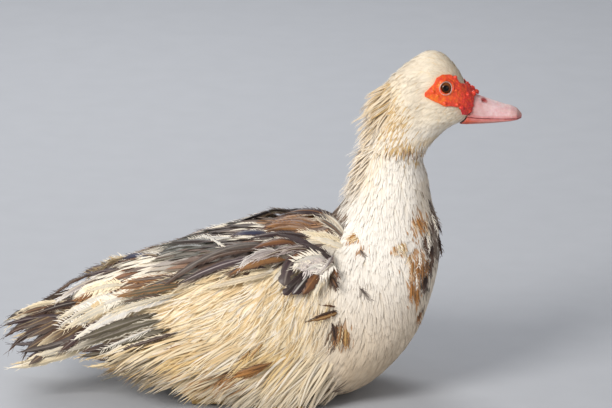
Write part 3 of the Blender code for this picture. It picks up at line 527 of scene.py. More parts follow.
def layOfCoat(places, ups):
    x, z = places[:, 0], places[:, 2]
    fall = np.interp(x, lie["columns"], lie["fall"])
    lowFall = np.interp(x, lie["columns"], lie["bellyFall"])
    fall = blend(lowFall, fall, smooth(lie["bellyLow"], lie["bellyHigh"], z))
    onNeck = smooth(*lie["neck"], z) * smooth(*lie["neckFront"], x)
    fall = blend(fall, np.full_like(fall, 90.0), onNeck)
    turn = np.radians(fall)
    body = np.stack([-np.cos(turn), np.zeros_like(turn), -np.sin(turn)], axis=1)
    fromBill = places - np.array(lie["billBase"])
    distance = np.linalg.norm(fromBill, axis=1)
    head = unit(fromBill)
    head[:, 2] -= lie["headFall"] * smooth(*lie["headReach"], distance)
    way = blend(body, unit(head), smooth(*lie["head"], z))
    way = way - ups * np.sum(way * ups, axis=1, keepdims=True)
    return unit(way)


def traceLie(roots, ups, lengths, steps, swerve):
    # each path follows the lie of the coat over the skin from its root
    spots, normals = [roots], [ups]
    here, up = roots, ups
    for step in range(steps):
        way = layOfCoat(here, up)
        side = np.cross(way, up)
        bend = swerve * (1 - step / steps)
        way = unit(way + side * bend[:, None])
        ahead = here + way * (lengths / steps)[:, None]
        here, up, _ = nearestSkin(ahead)
        spots.append(here)
        normals.append(up)
    return np.stack(spots, axis=1), np.stack(normals, axis=1)


# Cross sections of a feather: across from -1 to 1, height over the vane as a share of its thickness
tuftSection = ((-1.0, 0.0), (0.0, 1.0), (1.0, 0.0))
vaneSection = (
    (-1.0, 0.0), (-0.62, 0.7), (-0.2, 0.9), (0.0, 1.5), (0.2, 0.9), (0.62, 0.7), (1.0, 0.0), (0.0, -0.4),
)
plumeSection = ((-1.0, 0.0), (-0.5, 0.8), (0.0, 1.3), (0.5, 0.8), (1.0, 0.0), (0.0, -0.3))
blade = {
    "floorGap": 0.0006,         # no feather goes lower over the floor
    "patch": 0.003,             # side of a feather's patch on the bake map
    "domeTop": 0.33,            # where a curved vane stands over its path, in half widths
    "rimAngle": 62,             # degrees: sharper edges, such as a blade's rims, aren't smoothed
}


def weave(paths, ups, halves, thick, section, dome):
    # closed blades: a point at the root, rings between, a point at the tip
    across = np.array([p[0] for p in section])
    height = np.array([p[1] for p in section])
    along = unit(np.gradient(paths, axis=1))
    side = unit(np.cross(along, ups))
    lift = np.cross(side, along)
    halves = halves if halves.ndim == 3 else np.repeat(halves[:, :, None], len(section), axis=2)
    rings = paths[:, 1:-1, None, :] + side[:, 1:-1, None, :] * (halves[:, 1:-1] * across)[..., None]
    domed = halves[:, 1:-1] * (blade["domeTop"] - across ** 2) * dome
    rings = rings + lift[:, 1:-1, None, :] * (thick[:, 1:-1, None] * height + domed)[..., None]
    return np.concatenate([paths[:, :1], rings.reshape(len(paths), -1, 3), paths[:, -1:]], axis=1)


def bladeFaces(stations, ring):
    # a fan at the root, quads in two triangles between the rings, and a fan at the tip
    faces = []
    last = 1 + (stations - 2) * ring
    for j in range(ring):
        k = (j + 1) % ring
        faces.append((0, 1 + k, 1 + j))
        for i in range(stations - 3):
            a, b = 1 + i * ring + j, 1 + i * ring + k
            faces.append((a, b, b + ring))
            faces.append((a, b + ring, a + ring))
        end = 1 + (stations - 3) * ring
        faces.append((end + j, end + k, last))
    return np.array(faces)


def batchOf(paths, ups, halves, thick, section, lengths, maps, tones, gloss, seed, skew=0.0, dome=0.0):
    # like feathers together, with tones by feather, station and ring point
    count, stations, _ = paths.shape
    ring = len(section)
    draw = np.random.default_rng(seed)
    places = weave(paths, ups, halves, thick, section, dome)
    places[..., 2] = np.maximum(places[..., 2], blade["floorGap"])
    along = np.linspace(0, 1, stations)
    t = np.concatenate([[0.0], np.repeat(along[1:-1], ring), [1.0]])
    across = np.array([p[0] for p in section])
    u = np.concatenate([[0.0], np.tile(across, stations - 2), [0.0]])
    wide = halves.max(axis=(1, 2)) if halves.ndim == 3 else halves.max(axis=1)
    offset = draw.uniform(0, 500, count)
    alongVane = (t * lengths[:, None] - skew * abs(u) * wide[:, None]) * 1000 + offset[:, None] * 3
    vaneMap = np.stack([u * wide[:, None] * 1000 + offset[:, None], alongVane], axis=2)
    patch = np.stack([u / 2, t - 0.5], axis=1) * blade["patch"]
    bakeMap = np.clip(maps[:, None, :] + patch[None], 0.0, 1.0)
    first, last = tones[:, :1, 0], tones[:, -1:, 0]
    colour = np.concatenate([first, tones[:, 1:-1].reshape(count, -1, 3), last], axis=1)
    shine = np.broadcast_to(np.asarray(gloss).reshape(-1, 1), (count, len(t)))
    faces = bladeFaces(stations, ring)[None] + (np.arange(count) * len(t))[:, None, None]
    return {
        "places": places.reshape(-1, 3), "faces": faces.reshape(-1, 3), "tone": colour.reshape(-1, 3),
        "vane": vaneMap.reshape(-1, 2), "OFBake": bakeMap.reshape(-1, 2), "gloss": shine.reshape(-1),
    }


def featherPiece(name, batches, material):
    # one closed-blade mesh from batches
    whole = {key: np.concatenate([batch[key] for batch in batches]) for key in batches[0]}
    starts = np.cumsum([0] + [len(batch["places"]) for batch in batches])
    faces = np.concatenate([batch["faces"] + start for batch, start in zip(batches, starts)])
    places = whole["places"]
    mesh = bpy.data.meshes.new(name)
    mesh.vertices.add(len(places))
    mesh.vertices.foreach_set("co", places.astype(np.float32).ravel())
    mesh.loops.add(len(faces) * 3)
    mesh.loops.foreach_set("vertex_index", faces.astype(np.int32).ravel())
    mesh.polygons.add(len(faces))
    mesh.polygons.foreach_set("loop_start", np.arange(0, len(faces) * 3, 3, dtype=np.int32))
    mesh.update(calc_edges=True)
    for key in ("OFBake", "vane"):
        layer = mesh.uv_layers.new(name=key)
        layer.data.foreach_set("uv", whole[key][faces.ravel()].astype(np.float32).ravel())
    setTone(mesh, whole["tone"])
    setNumber(mesh, whole["gloss"], "gloss")
    mesh.shade_smooth()
    mesh.set_sharp_from_angle(angle=math.radians(blade["rimAngle"]))
    mesh.materials.append(material)
    print(name, len(faces), "triangles")
    return newObject(name, mesh)


def photoPlace(places):
    # column and row of the photo where each point shows, the far side mirrored onto the near one
    columns = camera["middlePixel"] + places[:, 0] / camera["pixel"]
    rise = places[:, 2] - slope * abs(places[:, 1])
    rows = camera["floorRow"] - rise * math.cos(tilt) / camera["pixel"]
    return columns, rows


# Outline of the back in the photo, which no feather stands over
skyline = (
    (0, 324), (17, 310), (47, 298), (78, 276), (84, 269), (114, 260), (133, 253),
    (150, 247), (170, 242), (190, 235), (199, 230), (233, 222), (262, 212), (274, 208),
    (291, 208), (312, 206), (330, 213), (337, 216), (350, 190), (360, 100),
)


def underSkyline(paths, half):
    columns = camera["middlePixel"] + paths[..., 0] / camera["pixel"]
    rows = camera["floorRow"] - (paths[..., 2] + slope * paths[..., 1]) * math.cos(tilt) / camera["pixel"]
    limit = np.interp(columns, *np.array(skyline).T) + half / camera["pixel"]
    lowered = paths.copy()
    lowered[..., 2] -= np.maximum(limit - rows, 0) * camera["pixel"] / math.cos(tilt)
    return lowered


# Markings of the small feathers, with some painted shade among them: column, row, half width and half height
# in the photo, tone, strength
coatMarks = (
    (419, 221, 6, 9, "amber", 0.65), (399, 247, 6, 5, "amber", 0.55), (417, 264, 7, 14, "amber", 0.75),
    (415, 291, 5, 10, "amber", 0.60), (434, 215, 5, 22, "brown", 0.42), (433, 247, 6, 16, "brown", 0.60),
    (427, 280, 5, 9, "dark", 0.65), (440, 240, 3, 20, "brown", 0.50), (422, 314, 4, 7, "brown", 0.50),
    (355, 236, 4, 4, "amber", 0.70), (362, 249, 4, 4, "ochre", 0.40), (364, 289, 5, 5, "grey", 0.45),
    (334, 281, 3, 4, "brown", 0.90), (337, 332, 4, 9, "brown", 0.75), (346, 334, 5, 8, "ochre", 0.65),
    # the straw mark on the cheek (396, 126) and the rust and straw marks at the throat (404 to 414, 149 to
    # 162) are painted golden shade, not markings
    (333, 389, 14, 4, "brown", 0.50), (190, 356, 16, 5, "gold", 0.70), (396, 126, 12, 24, "straw", 0.36),
    (412, 154, 8, 2.5, "rust", 0.55), (404, 149, 18, 4, "straw", 0.44), (414, 162, 7, 3, "straw", 0.35),
    (265, 356, 22, 5, "gold", 0.60), (235, 374, 20, 5, "ochre", 0.55), (382, 92, 8, 4, "buff", 0.35),
    (388, 84, 3, 2.5, "straw", 0.55),
)
# The same for the feathers of the back
backMarks = (
    (304, 220, 34, 15, "brown", 1.2), (296, 222, 24, 9, "ochre", 0.9), (262, 215, 22, 8, "olive", 0.7),
    (226, 229, 26, 7, "pale", 0.8), (335, 222, 8, 12, "brown", 0.9),
    (204, 243, 32, 5, "dark", 0.85), (186, 249, 26, 6, "green", 0.8), (155, 254, 12, 5, "pale", 0.6),
    (240, 259, 34, 8, "brown", 0.75), (296, 246, 18, 10, "pale", 0.7), (106, 268, 26, 5, "brown", 0.8),
    (88, 300, 30, 14, "ivory", 0.9), (300, 268, 16, 10, "purple", 0.6), (140, 284, 22, 6, "rust", 0.5),
)

# Photo columns and rows of the line between the cream flank and the dark wing
flankTop = ((-20, 345), (60, 322), (110, 300), (150, 290), (200, 280), (262, 268), (320, 256), (345, 236))


def overFlank(columns, rows):
    # photo rows above the line, on the dark side of it
    return np.interp(columns, *np.array(flankTop).T) - rows


def overMarks(tones, columns, rows, marks, draw, seen=1.0):
    # each mark takes whole feathers, fewer towards its edge
    for column, row, across, down, name, strength in marks:
        away = ((columns - column) / across) ** 2 + ((rows - row) / down) ** 2
        share = strength * np.exp(-away * 0.8) * seen
        taken = draw.random(len(columns)) < share * 1.5
        whole, tinged = blend(tones, tone(name), 0.9), blend(tones, tone(name), share * 0.25)
        tones = np.where(taken[:, None], whole, tinged)
    return tones


# Where each ground tone of the coat begins and ends, and how strong it is
grounds = {
    "rear": (300, 352),             # photo columns from the cream flank to the white breast
    "strawLocks": (0.26, 0.55),     # share of the flank's locks, strength
    "whiteLocks": (0.24, 0.60),
    # low and front: painted shade, warmer and darker, on the lower breast and on its forward-facing side
    "low": (0.025, 0.150), "lowShadeShare": 0.9,             # heights on the breast
    "front": (0.35, 0.9), "frontTop": 0.2, "frontShadeShare": 0.4,
    "hem": (0.022, 0.045), "hemAlong": (-0.045, -0.010), "hemShare": 0.7,
    "crown": (0.232, 0.262),
    "nape": (0.175, 0.205), "napeTop": (0.270, 0.300), "napeShare": 0.6,
    "under": (-0.092, -0.046), "underTop": (0.042, 0.066), "underShare": 0.8,
    "underTones": ("brown", "dark", "straw", "olive", "dark", "beige"),
    # crease: painted golden shadow in the fold under the head
    "crease": (0.2365, 0.0035), "creaseShadowShare": 0.55,    # height and depth of the fold under the head
    "backFront": (338, 352),        # photo columns where the dark back ends at the neck
    "backTop": (0.165, 0.190),
    "backTones": ("pale", "brown", "dark", "purple", "slate", "rust", "grey", "olive"),
    "rump": (-0.11, -0.06), "rumpShare": 0.7,
    "middleRow": 262, "middleShare": 0.9,               # the breast's middle stays plain below this row
    "vary": (0.90, 1.05),
}


def pickTones(names, count, draw):
    return np.array([tone(name) for name in names])[draw.integers(0, len(names), count)]


def coatTone(places, ups, seed):
    # tone of the skin and of each small feather, by its place
    draw = np.random.default_rng(seed)
    columns, rows = photoPlace(places)
    x, z = places[:, 0], places[:, 2]
    count = len(places)
    rear = fade(*grounds["rear"], columns)
    tones = blend(np.tile(tone("white"), (count, 1)), tone("cream"), rear)
    chance = draw.random(count)
    share, strength = grounds["strawLocks"]
    tones = blend(tones, tone("straw"), (chance < share) * rear * strength)
    share, strength = grounds["whiteLocks"]
    tones = blend(tones, tone("white"), (chance > 1 - share) * rear * strength)
    # painted shade: the lower breast turns fawn, and its forward-facing side below frontTop beige
    low = fade(*grounds["low"], z) * (1 - rear)
    tones = blend(tones, tone("fawn"), low * grounds["lowShadeShare"])
    front = smooth(*grounds["front"], ups[:, 0]) * (z < grounds["frontTop"])
    tones = blend(tones, tone("beige"), front * grounds["frontShadeShare"])
    hem = fade(*grounds["hem"], z) * smooth(*grounds["hemAlong"], x) * rear
    tones = blend(tones, tone("bone"), hem * grounds["hemShare"])
    tones = blend(tones, tone("crown"), smooth(*grounds["crown"], z))
    # the back of the nape is tinted buff at random: partly its own colour, partly painted shade among the
    # crest's wisps
    nape = smooth(0.05, 0.75, -ups[:, 0]) * smooth(*grounds["nape"], z) * fade(*grounds["napeTop"], z)
    tones = blend(tones, tone("buff"), nape * draw.uniform(0.0, grounds["napeShare"], count))
    # the underside of the rear takes dark wet strands of its own, darkened further as painted shade under the
    # tail and flank
    under = fade(*grounds["under"], x) * fade(*grounds["underTop"], z)
    tones = blend(tones, pickTones(grounds["underTones"], count, draw), under * grounds["underShare"])
    # painted shadow: a buff band along the fold under the head, on its forward-facing side
    height, depth = grounds["crease"]
    crease = np.exp(-((z - height) / depth) ** 2) * smooth(-0.2, 0.5, ups[:, 0])
    tones = blend(tones, tone("buff"), crease * grounds["creaseShadowShare"])
    onBack = smooth(-6, 8, overFlank(columns, rows))
    onBack = onBack * fade(*grounds["backFront"], columns) * fade(*grounds["backTop"], z)
    mixed = pickTones(grounds["backTones"], count, draw)
    mixed = overMarks(mixed, columns, rows, backMarks, draw)
    rump = fade(*grounds["rump"], x) * smooth(0.4, 0.8, ups[:, 2])
    mixed = blend(mixed, tone("pale"), rump * (draw.random(count) < grounds["rumpShare"]))
    tones = np.where((draw.random(count) < onBack)[:, None], mixed, tones)
    middle = smooth(0.80, 0.97, ups[:, 0]) * (rows > grounds["middleRow"])
    tones = overMarks(tones, columns, rows, coatMarks, draw, 1 - middle * grounds["middleShare"])
    return tones * draw.uniform(*grounds["vary"], count)[:, None]


def gather(paths, cell, clumpCell, strength, draw):
    # paths drawn together into wet locks, more towards their tips
    count = len(paths)
    leaders = draw.choice(count, max(1, int(count * (cell / clumpCell) ** 2)), replace=False)
    gaps = np.linalg.norm(paths[:, None, 0] - paths[None, leaders, 0], axis=2)
    leader = leaders[gaps.argmin(axis=1)]
    pull = strength * np.linspace(0, 1, paths.shape[1]) ** 1.3
    return paths + (paths[leader] - paths) * pull[None, :, None]


def flyFree(roots, ups, lengths, steps, way):
    # straight paths that leave the skin
    t = np.linspace(0, 1, steps + 1)
    spots = roots[:, None] + way[:, None] * (lengths[:, None] * t)[..., None]
    return spots, np.repeat(ups[:, None], steps + 1, axis=1)


# What a coat has unless its own settings say otherwise
plainTuft = {
    "swerve": 0.0,              # how far a tuft turns from the lie of the coat
    "lift": 0.0,                # how far it leaves the skin, as a share of its length
    "sag": 0.0,                 # how far its tip hangs, as a share of its length
    "more": 0.0,                # added to its short length below or behind a range, grow: axis, from, to
    "grow": (2, 0.0, 0.1),
    "vary": 0.22,               # spread of the lengths
    "dig": 0.0005,              # depth of the roots in the skin
    "stations": 6,
    "thickness": 0.08,          # a share of its half width
    "clump": 0.0,               # how far tips gather into wet locks, clumpCell apart
    "shape": (0.5, 0.9, 1.0, 0.6, 0.05),        # width from root to tip
    # the tone each tuft's root is tinted half way towards: painted shade in the gaps between tufts
    "rootTone": "cream",
    "gloss": 0.05,
    "skyline": False,
}


def plainLength(settings, roots):
    axis, start, end = settings["grow"]
    return settings["short"] + settings["more"] * fade(start, end, roots[:, axis])


def growTufts(
    name, own, keep, lengthAt=None, liftAt=None, wayAt=None, material=tuftMaterial, section=tuftSection
):
    # one piece of tufts over the part of the skin where keep says so
    settings = dict(plainTuft, **own)
    roots, ups, maps = scatter(settings["cell"], settings["seed"], keep)
    draw = np.random.default_rng(settings["seed"] + 1)
    count, stations = len(roots), settings["stations"]
    t = np.linspace(0, 1, stations)
    vary = settings["vary"]
    lengths = lengthAt(roots, ups) if lengthAt else plainLength(settings, roots)
    lengths = lengths * draw.uniform(1 - vary, 1 + vary, count)
    swerve = draw.normal(0, settings["swerve"], count)
    if wayAt:
        spots, normals = flyFree(roots, ups, lengths, stations - 1, wayAt(roots, ups, draw))
    else:
        spots, normals = traceLie(roots, ups, lengths, stations - 1, swerve)
    tips = settings["tip"] * draw.uniform(0.5, 1.25, count)
    lift = (liftAt(roots, ups) if liftAt else settings["lift"]) * draw.uniform(0.3, 1.2, count)
    height = tips[:, None] * t ** 0.7 - settings["dig"] * (1 - t) ** 2
    height = height + (lift * lengths)[:, None] * t ** 1.6
    paths = spots + normals * height[..., None]
    if settings["clump"]:
        paths = gather(paths, settings["cell"], settings["clumpCell"], settings["clump"], draw)
    side = np.cross(unit(paths[:, -1] - paths[:, 0]), ups)
    wave = draw.uniform(-1, 1, count) * settings["wave"]
    bend = wave[:, None] * np.sin(math.pi * (t * 1.3))
    paths = paths + side[:, None] * bend[..., None]
    paths[..., 2] -= (settings["sag"] * lengths)[:, None] * t ** 2
    if settings["skyline"]:
        paths = underSkyline(paths, 0.0)
    shape = np.interp(t, (0, 0.12, 0.45, 0.8, 1), settings["shape"])
    halves = settings["width"] / 2 * draw.uniform(0.7, 1.3, count)[:, None] * shape
    thick = np.maximum(halves * settings["thickness"], 0.00006)
    base = coatTone(paths[:, stations // 2], ups, settings["seed"] + 2)
    # painted shade: each tuft is darker and tinted towards its root, where the coat above would shadow it
    shade = blend(settings["rootShade"], 1.0, t ** 0.6)
    rootTone = blend(base, tone(settings["rootTone"]), 0.5)
    colours = rootTone[:, None] + (base - rootTone)[:, None] * (t ** 0.5)[None, :, None]
    colours = (colours * shade[None, :, None])[:, :, None] * np.ones((1, 1, len(section), 1))
    gloss = np.full(count, settings["gloss"])
    seed = settings["seed"] + 3
    batch = batchOf(paths, normals, halves, thick, section, lengths, maps, colours, gloss, seed)
    return featherPiece(name, [batch], material)


# Every coat: cell is the room of one tuft, tip the height of its tip over the skin, wave its sideways bend
# and rootShade how much darker it is at its root, painted shade where the coat above covers it.
# Coat over the head, laid back from the bill and round the bare face
headCoat = {
    "seed": 11, "cell": 0.00135, "stations": 5, "width": 0.0013, "swerve": 0.08,
    "tip": 0.0009, "lift": 0.015, "clump": 0.60, "clumpCell": 0.0040, "wave": 0.0004,
    "rootShade": 0.92,
    "short": 0.0044, "backMore": 0.0070, "throatMore": 0.0080,          # lengths
    "flat": 0.03, "backLift": 0.13, "cheekLift": 0.20, "crownLift": 0.10,
    "back": (0.128, 0.178), "billEnd": 0.186,
}
bareNape = 0.236        # height where the head's short coat gives way to the neck's


def onHead(places, ups):
    kept = smooth(bareNape - 0.010, bareNape + 0.002, places[:, 2])
    return kept * ~onBareFace(places) * (places[:, 0] < headCoat["billEnd"])


def headLength(roots, ups):
    back = fade(*headCoat["back"], roots[:, 0])
    throat = fade(bareNape, bareNape + 0.014, roots[:, 2]) * (1 - back)
    return headCoat["short"] + headCoat["backMore"] * back + headCoat["throatMore"] * throat


def headLift(roots, ups):
    back = fade(0.112, 0.148, roots[:, 0]) * smooth(0.0, 0.5, -ups[:, 0])
    cheek = fade(bareNape - 0.004, bareNape + 0.012, roots[:, 2])
    crown = smooth(0.282, 0.300, roots[:, 2]) * fade(0.138, 0.156, roots[:, 0])
    lift = headCoat["flat"] + headCoat["backLift"] * back + headCoat["cheekLift"] * cheek
    return lift + headCoat["crownLift"] * crown


place(growTufts("headCoat", headCoat, onHead, headLength, headLift), "head_feathers")

# Wet wisps that stand out from the back of the crown down to the foot of the neck
crest = {
    "seed": 23, "cell": 0.0018, "stations": 8, "width": 0.0009, "thickness": 0.16,
    "tip": 0.0002, "clump": 0.90, "clumpCell": 0.0046, "wave": 0.0012, "sag": 0.26,
    "dig": 0.0016, "vary": 0.52,
    "shape": (0.15, 0.6, 1.0, 0.7, 0.04), "rootShade": 0.86, "rootTone": "straw", "gloss": 0.08,
    "heights": (0.17, 0.20, 0.222, 0.238, 0.252, 0.27, 0.286, 0.30, 0.31),        # along the nape
    "falls": (48.0, 38.0, 30.0, 34.0, 30.0, 22.0, 24.0, 22.0, 24.0),      # degrees under the horizontal
    "lengths": (0.012, 0.016, 0.018, 0.013, 0.018, 0.021, 0.018, 0.014, 0.010),
    "front": 0.134, "fan": 0.22, "stray": 0.10, "strayFall": 6,
}


def onNape(places, ups):
    band = smooth(0.172, 0.184, places[:, 2]) * fade(0.303, 0.309, places[:, 2])
    return band * smooth(0.62, 0.90, -ups[:, 0]) * (places[:, 0] < crest["front"])


def napeLength(roots, ups):
    return np.interp(roots[:, 2], crest["heights"], crest["lengths"])


def napeWay(roots, ups, draw):
    falls = np.interp(roots[:, 2], crest["heights"], crest["falls"])
    fall = np.radians(falls + draw.normal(0, crest["strayFall"], len(roots)))
    outward = ups[:, 1] * crest["fan"] + draw.normal(0, crest["stray"], len(roots))
    way = np.stack([-np.cos(fall), outward, -np.sin(fall)], axis=1)
    flat = layOfCoat(roots, ups) + ups * 0.08
    return unit(blend(unit(flat), unit(way), smooth(0.50, 0.95, -ups[:, 0])))


place(growTufts("napeCrest", crest, onNape, napeLength, wayAt=napeWay), "head_feathers")

# Neck and breast: fine smooth feathers
neckCoat = {
    "seed": 37, "cell": 0.00175, "width": 0.0017, "swerve": 0.10,
    "tip": 0.0013, "lift": 0.02, "clump": 0.50, "clumpCell": 0.0060, "wave": 0.0005,
    "rootShade": 0.86, "gloss": 0.06,
    "short": 0.011, "more": 0.006, "grow": (2, 0.17, 0.23),
}
breastCoat = {
    "seed": 53, "cell": 0.0022, "width": 0.0023, "thickness": 0.06, "swerve": 0.09,
    "tip": 0.0013, "lift": 0.015, "clump": 0.35, "clumpCell": 0.0080, "wave": 0.0005,
    "shape": (0.5, 0.9, 1.0, 0.65, 0.05), "rootShade": 0.88, "rootTone": "pale", "gloss": 0.04,
    "short": 0.015, "more": 0.008, "grow": (2, 0.04, 0.15),
}


def onNeck(places, ups):
    return smooth(0.158, 0.166, places[:, 2]) * fade(bareNape, bareNape + 0.008, places[:, 2])


breastRear = 0.058      # where the breast gives way to the flank and the folded wing


def onBreast(places, ups):
    front = smooth(breastRear - 0.006, breastRear + 0.010, places[:, 0])
    return front * fade(0.164, 0.172, places[:, 2]) * (places[:, 2] > 0.002)


def onHalf(keep, side):
    def kept(places, ups):
        return keep(places, ups) * (places[:, 1] * side > 0)
    return kept


place(growTufts("neckCoat", neckCoat, onNeck), "breast_feathers")
for side, label in sides:
    half = dict(breastCoat, seed=breastCoat["seed"] + side)
    place(growTufts("breastCoat" + label, half, onHalf(onBreast, side)), "breast_feathers")

# Flank and wing coverts on each side, long cream locks that trail to the rear
flankUnder = {
    "seed": 61, "cell": 0.0056, "stations": 7, "width": 0.0062, "thickness": 0.05, "swerve": 0.12,
    "tip": 0.0018, "lift": 0.01, "wave": 0.0010,
    "shape": (0.5, 0.95, 1.0, 0.7, 0.06), "rootShade": 0.88, "rootTone": "straw", "gloss": 0.06,
}
flankCoat = {
    "seed": 71, "cell": 0.00205, "width": 0.0019, "swerve": 0.13,
    "tip": 0.0020, "lift": 0.015, "clump": 0.66, "clumpCell": 0.0135, "wave": 0.0018,
    "shape": (0.5, 0.9, 1.0, 0.6, 0.04), "rootShade": 0.80, "rootTone": "straw", "gloss": 0.08,
}
wisps = {
    "seed": 97, "cell": 0.0052, "stations": 7, "width": 0.0009, "thickness": 0.30, "swerve": 0.24,
    "tip": 0.0050, "lift": 0.04, "clump": 0.45, "clumpCell": 0.0120, "wave": 0.0030,
    "shape": (0.6, 1.0, 0.9, 0.6, 0.05), "rootShade": 0.85,
}
flankLocks = {"short": 0.031, "rearMore": 0.015, "lowLess": 0.006}


def onFlank(side):
    def keep(places, ups):
        below = smooth(-4, 10, -overFlank(*photoPlace(places)))
        rearwards = fade(breastRear - 0.004, breastRear + 0.012, places[:, 0])
        onSide = (places[:, 1] * side > 0) * smooth(-0.75, -0.35, ups[:, 2])
        return below * rearwards * onSide * (places[:, 2] > 0.003)
    return keep


def flankLength(roots, ups):
    back = fade(-0.10, 0.06, roots[:, 0])
    low = fade(0.02, 0.06, roots[:, 2])
    return flankLocks["short"] + flankLocks["rearMore"] * back - flankLocks["lowLess"] * low


for side, label in sides:
    for name, work in (("flankUnderCoat", flankUnder), ("flankCoat", flankCoat), ("flankWisps", wisps)):
        own = dict(work, seed=work["seed"] + side)
        place(growTufts(name + label, own, onFlank(side), flankLength), "pied_feathers")

# Belly and under the tail
bellyCoat = {
    "seed": 113, "cell": 0.0046, "width": 0.0036, "thickness": 0.10, "swerve": 0.2,
    "tip": 0.0024, "lift": 0.02, "clump": 0.35, "clumpCell": 0.010, "wave": 0.001,
    "rootShade": 0.8, "rootTone": "beige",
    "short": 0.022,
}


def onBelly(places, ups):
    under = fade(-0.62, -0.35, ups[:, 2])
    return under * fade(breastRear - 0.004, breastRear + 0.010, places[:, 0])


place(growTufts("bellyCoat", bellyCoat, onBelly), "pied_feathers")

# Long flank and belly locks that leave the body and trail over the folded legs to the floor
skirt = {
    "seed": 127, "cell": 0.0024, "stations": 7, "width": 0.0021,
    "tip": 0.0012, "clump": 0.50, "clumpCell": 0.0110, "wave": 0.0026, "sag": 0.20,
    "dig": 0.0022, "rootShade": 0.96,
    "shape": (0.5, 0.9, 1.0, 0.62, 0.05), "shortest": 0.008, "longest": 0.050,
    "low": 0.012, "high": 0.078, "rear": -0.094, "front": 0.066,
    "columns": (-0.10, -0.06, -0.02, 0.02, 0.05, 0.07),
    "falls": (6.0, 7.0, 9.0, 17.0, 34.0, 48.0),         # degrees down, from rear to breast
    "hem": (0.030, 0.022, 0.009, 0.0016, 0.0016, 0.0016),       # height of the tips
}


def overLegs(places, ups):
    x, z = places[:, 0], places[:, 2]
    band = smooth(skirt["low"] - 0.004, skirt["low"] + 0.002, z)
    band = band * fade(skirt["high"] - 0.04, skirt["high"], z)
    length = smooth(skirt["rear"] - 0.01, skirt["rear"] + 0.01, x)
    length = length * fade(skirt["front"] - 0.012, skirt["front"] + 0.008, x)
    return band * length * fade(-0.1, 0.4, ups[:, 2])


def skirtFall(roots):
    return np.radians(np.interp(roots[:, 0], skirt["columns"], skirt["falls"]))


def skirtLength(roots, ups):
    hem = np.interp(roots[:, 0] - 0.018, skirt["columns"], skirt["hem"])
    reach = (roots[:, 2] - hem) / (np.sin(skirtFall(roots)) + skirt["sag"])
    return np.clip(reach, skirt["shortest"], skirt["longest"])


def skirtWay(roots, ups, draw):
    fall = skirtFall(roots) + draw.normal(0, 0.10, len(roots))
    outward = np.sign(roots[:, 1]) * 0.10 + draw.normal(0, 0.05, len(roots))
    return unit(np.stack([-np.cos(fall), outward, -np.sin(fall)], axis=1))


place(growTufts("bellySkirt", skirt, overLegs, skirtLength, wayAt=skirtWay), "pied_feathers")

# Back and shoulders: small vaned feathers in brown, orange and white, with down between them
backCoat = {
    "seed": 131, "cell": 0.0062, "stations": 8, "width": 0.0080, "thickness": 0.06, "swerve": 0.16,
    "tip": 0.0034, "lift": 0.03, "wave": 0.0012,
    "shape": (0.35, 0.8, 1.0, 0.55, 0.04), "rootShade": 0.75, "rootTone": "grey", "gloss": 0.22,
    "short": 0.028, "more": 0.012, "grow": (0, -0.10, 0.02), "skyline": True,
}
backFluff = {
    "seed": 149, "cell": 0.0036, "width": 0.0024, "thickness": 0.10, "swerve": 0.22,
    "tip": 0.0012, "lift": 0.01, "clump": 0.35, "clumpCell": 0.010, "wave": 0.0012,
    "rootShade": 0.75, "rootTone": "grey", "gloss": 0.10,
    "short": 0.028, "more": 0.012, "grow": (0, -0.10, 0.02), "skyline": True,
}
backLow = (0.160, 0.176)        # heights where the back's coat ends at the neck


def onBack(places, ups):
    above = smooth(-10, 4, overFlank(*photoPlace(places)))
    lower = fade(*backLow, places[:, 2])
    return above * lower * fade(breastRear + 0.004, breastRear + 0.016, places[:, 0])


def onTop(places, ups):
    # the top of the back, away from the large feathers on each side
    return onBack(places, ups) * smooth(0.62, 0.85, ups[:, 2])


place(growTufts("backFluff", backFluff, onBack), "pied_feathers")
vaned = growTufts("backCoat", backCoat, onTop, material=vaneMaterial, section=plumeSection)
place(vaned, "pied_feathers")

# Large feathers of the folded wings, shoulders and rump: root, middle and tip in the photo, half width in mm,
# height over the skin in mm, then the tones of vane, edge and shaft, and the gloss
quillWork = {
    "seed": 211, "stations": 17, "thickness": 0.00032,
    "vane": (0.04, 0.30, 0.78, 1.0, 0.78, 0.36, 0.03),      # width along it, as shares of the half width
    "jitter": 2.2,              # photo pixels that the far side's feathers stray
    "digIn": 0.0045,            # depth of the root, which rises out of the skin with digPower
    "digPower": 4.0, "sink": 0.0008,
    "jump": 0.016,              # furthest that a feather's depth leaves its middle's
    "skew": 0.018,              # furthest from root to tip
    "give": 0.006,              # and from the straight line between them
    "spread": 0.05,             # far side feathers that reach further in depth are left out
    "midline": -0.012,          # and those that would cross the back
    "easing": 6, "facing": 0.9,
    "castFrom": 0.5,            # sight lines begin this far in front of the middle plane
    "near": 0.38, "span": 0.24, "looks": 48,            # part that is searched where they miss the bird
    "fringe": 18,               # loose barbs on each edge
    "fringeLength": 0.0044, "fringeWidth": 0.00032, "fringeTurn": 0.42, "fringeStations": 4,
    "barbs": (0.12, 0.98),      # from here to here along the vane
    "barbRoot": 0.62,           # where a barb begins, as a share of the half width
    "barbBend": 0.35, "barbDrift": 0.18, "barbThick": 0.35,
    "halfShade": (0.76, 1.06), "patchShade": (0.90, 1.04),
    "edgeShare": 0.85, "tipShare": 0.7, "shaftShare": 0.6,      # how far each takes its own tone
    "worn": 0.5,                # deepest notch of a vane's edge, as a share of its width
    "slant": 0.8,               # of the barbs' streaks
    "dome": 0.28,
}
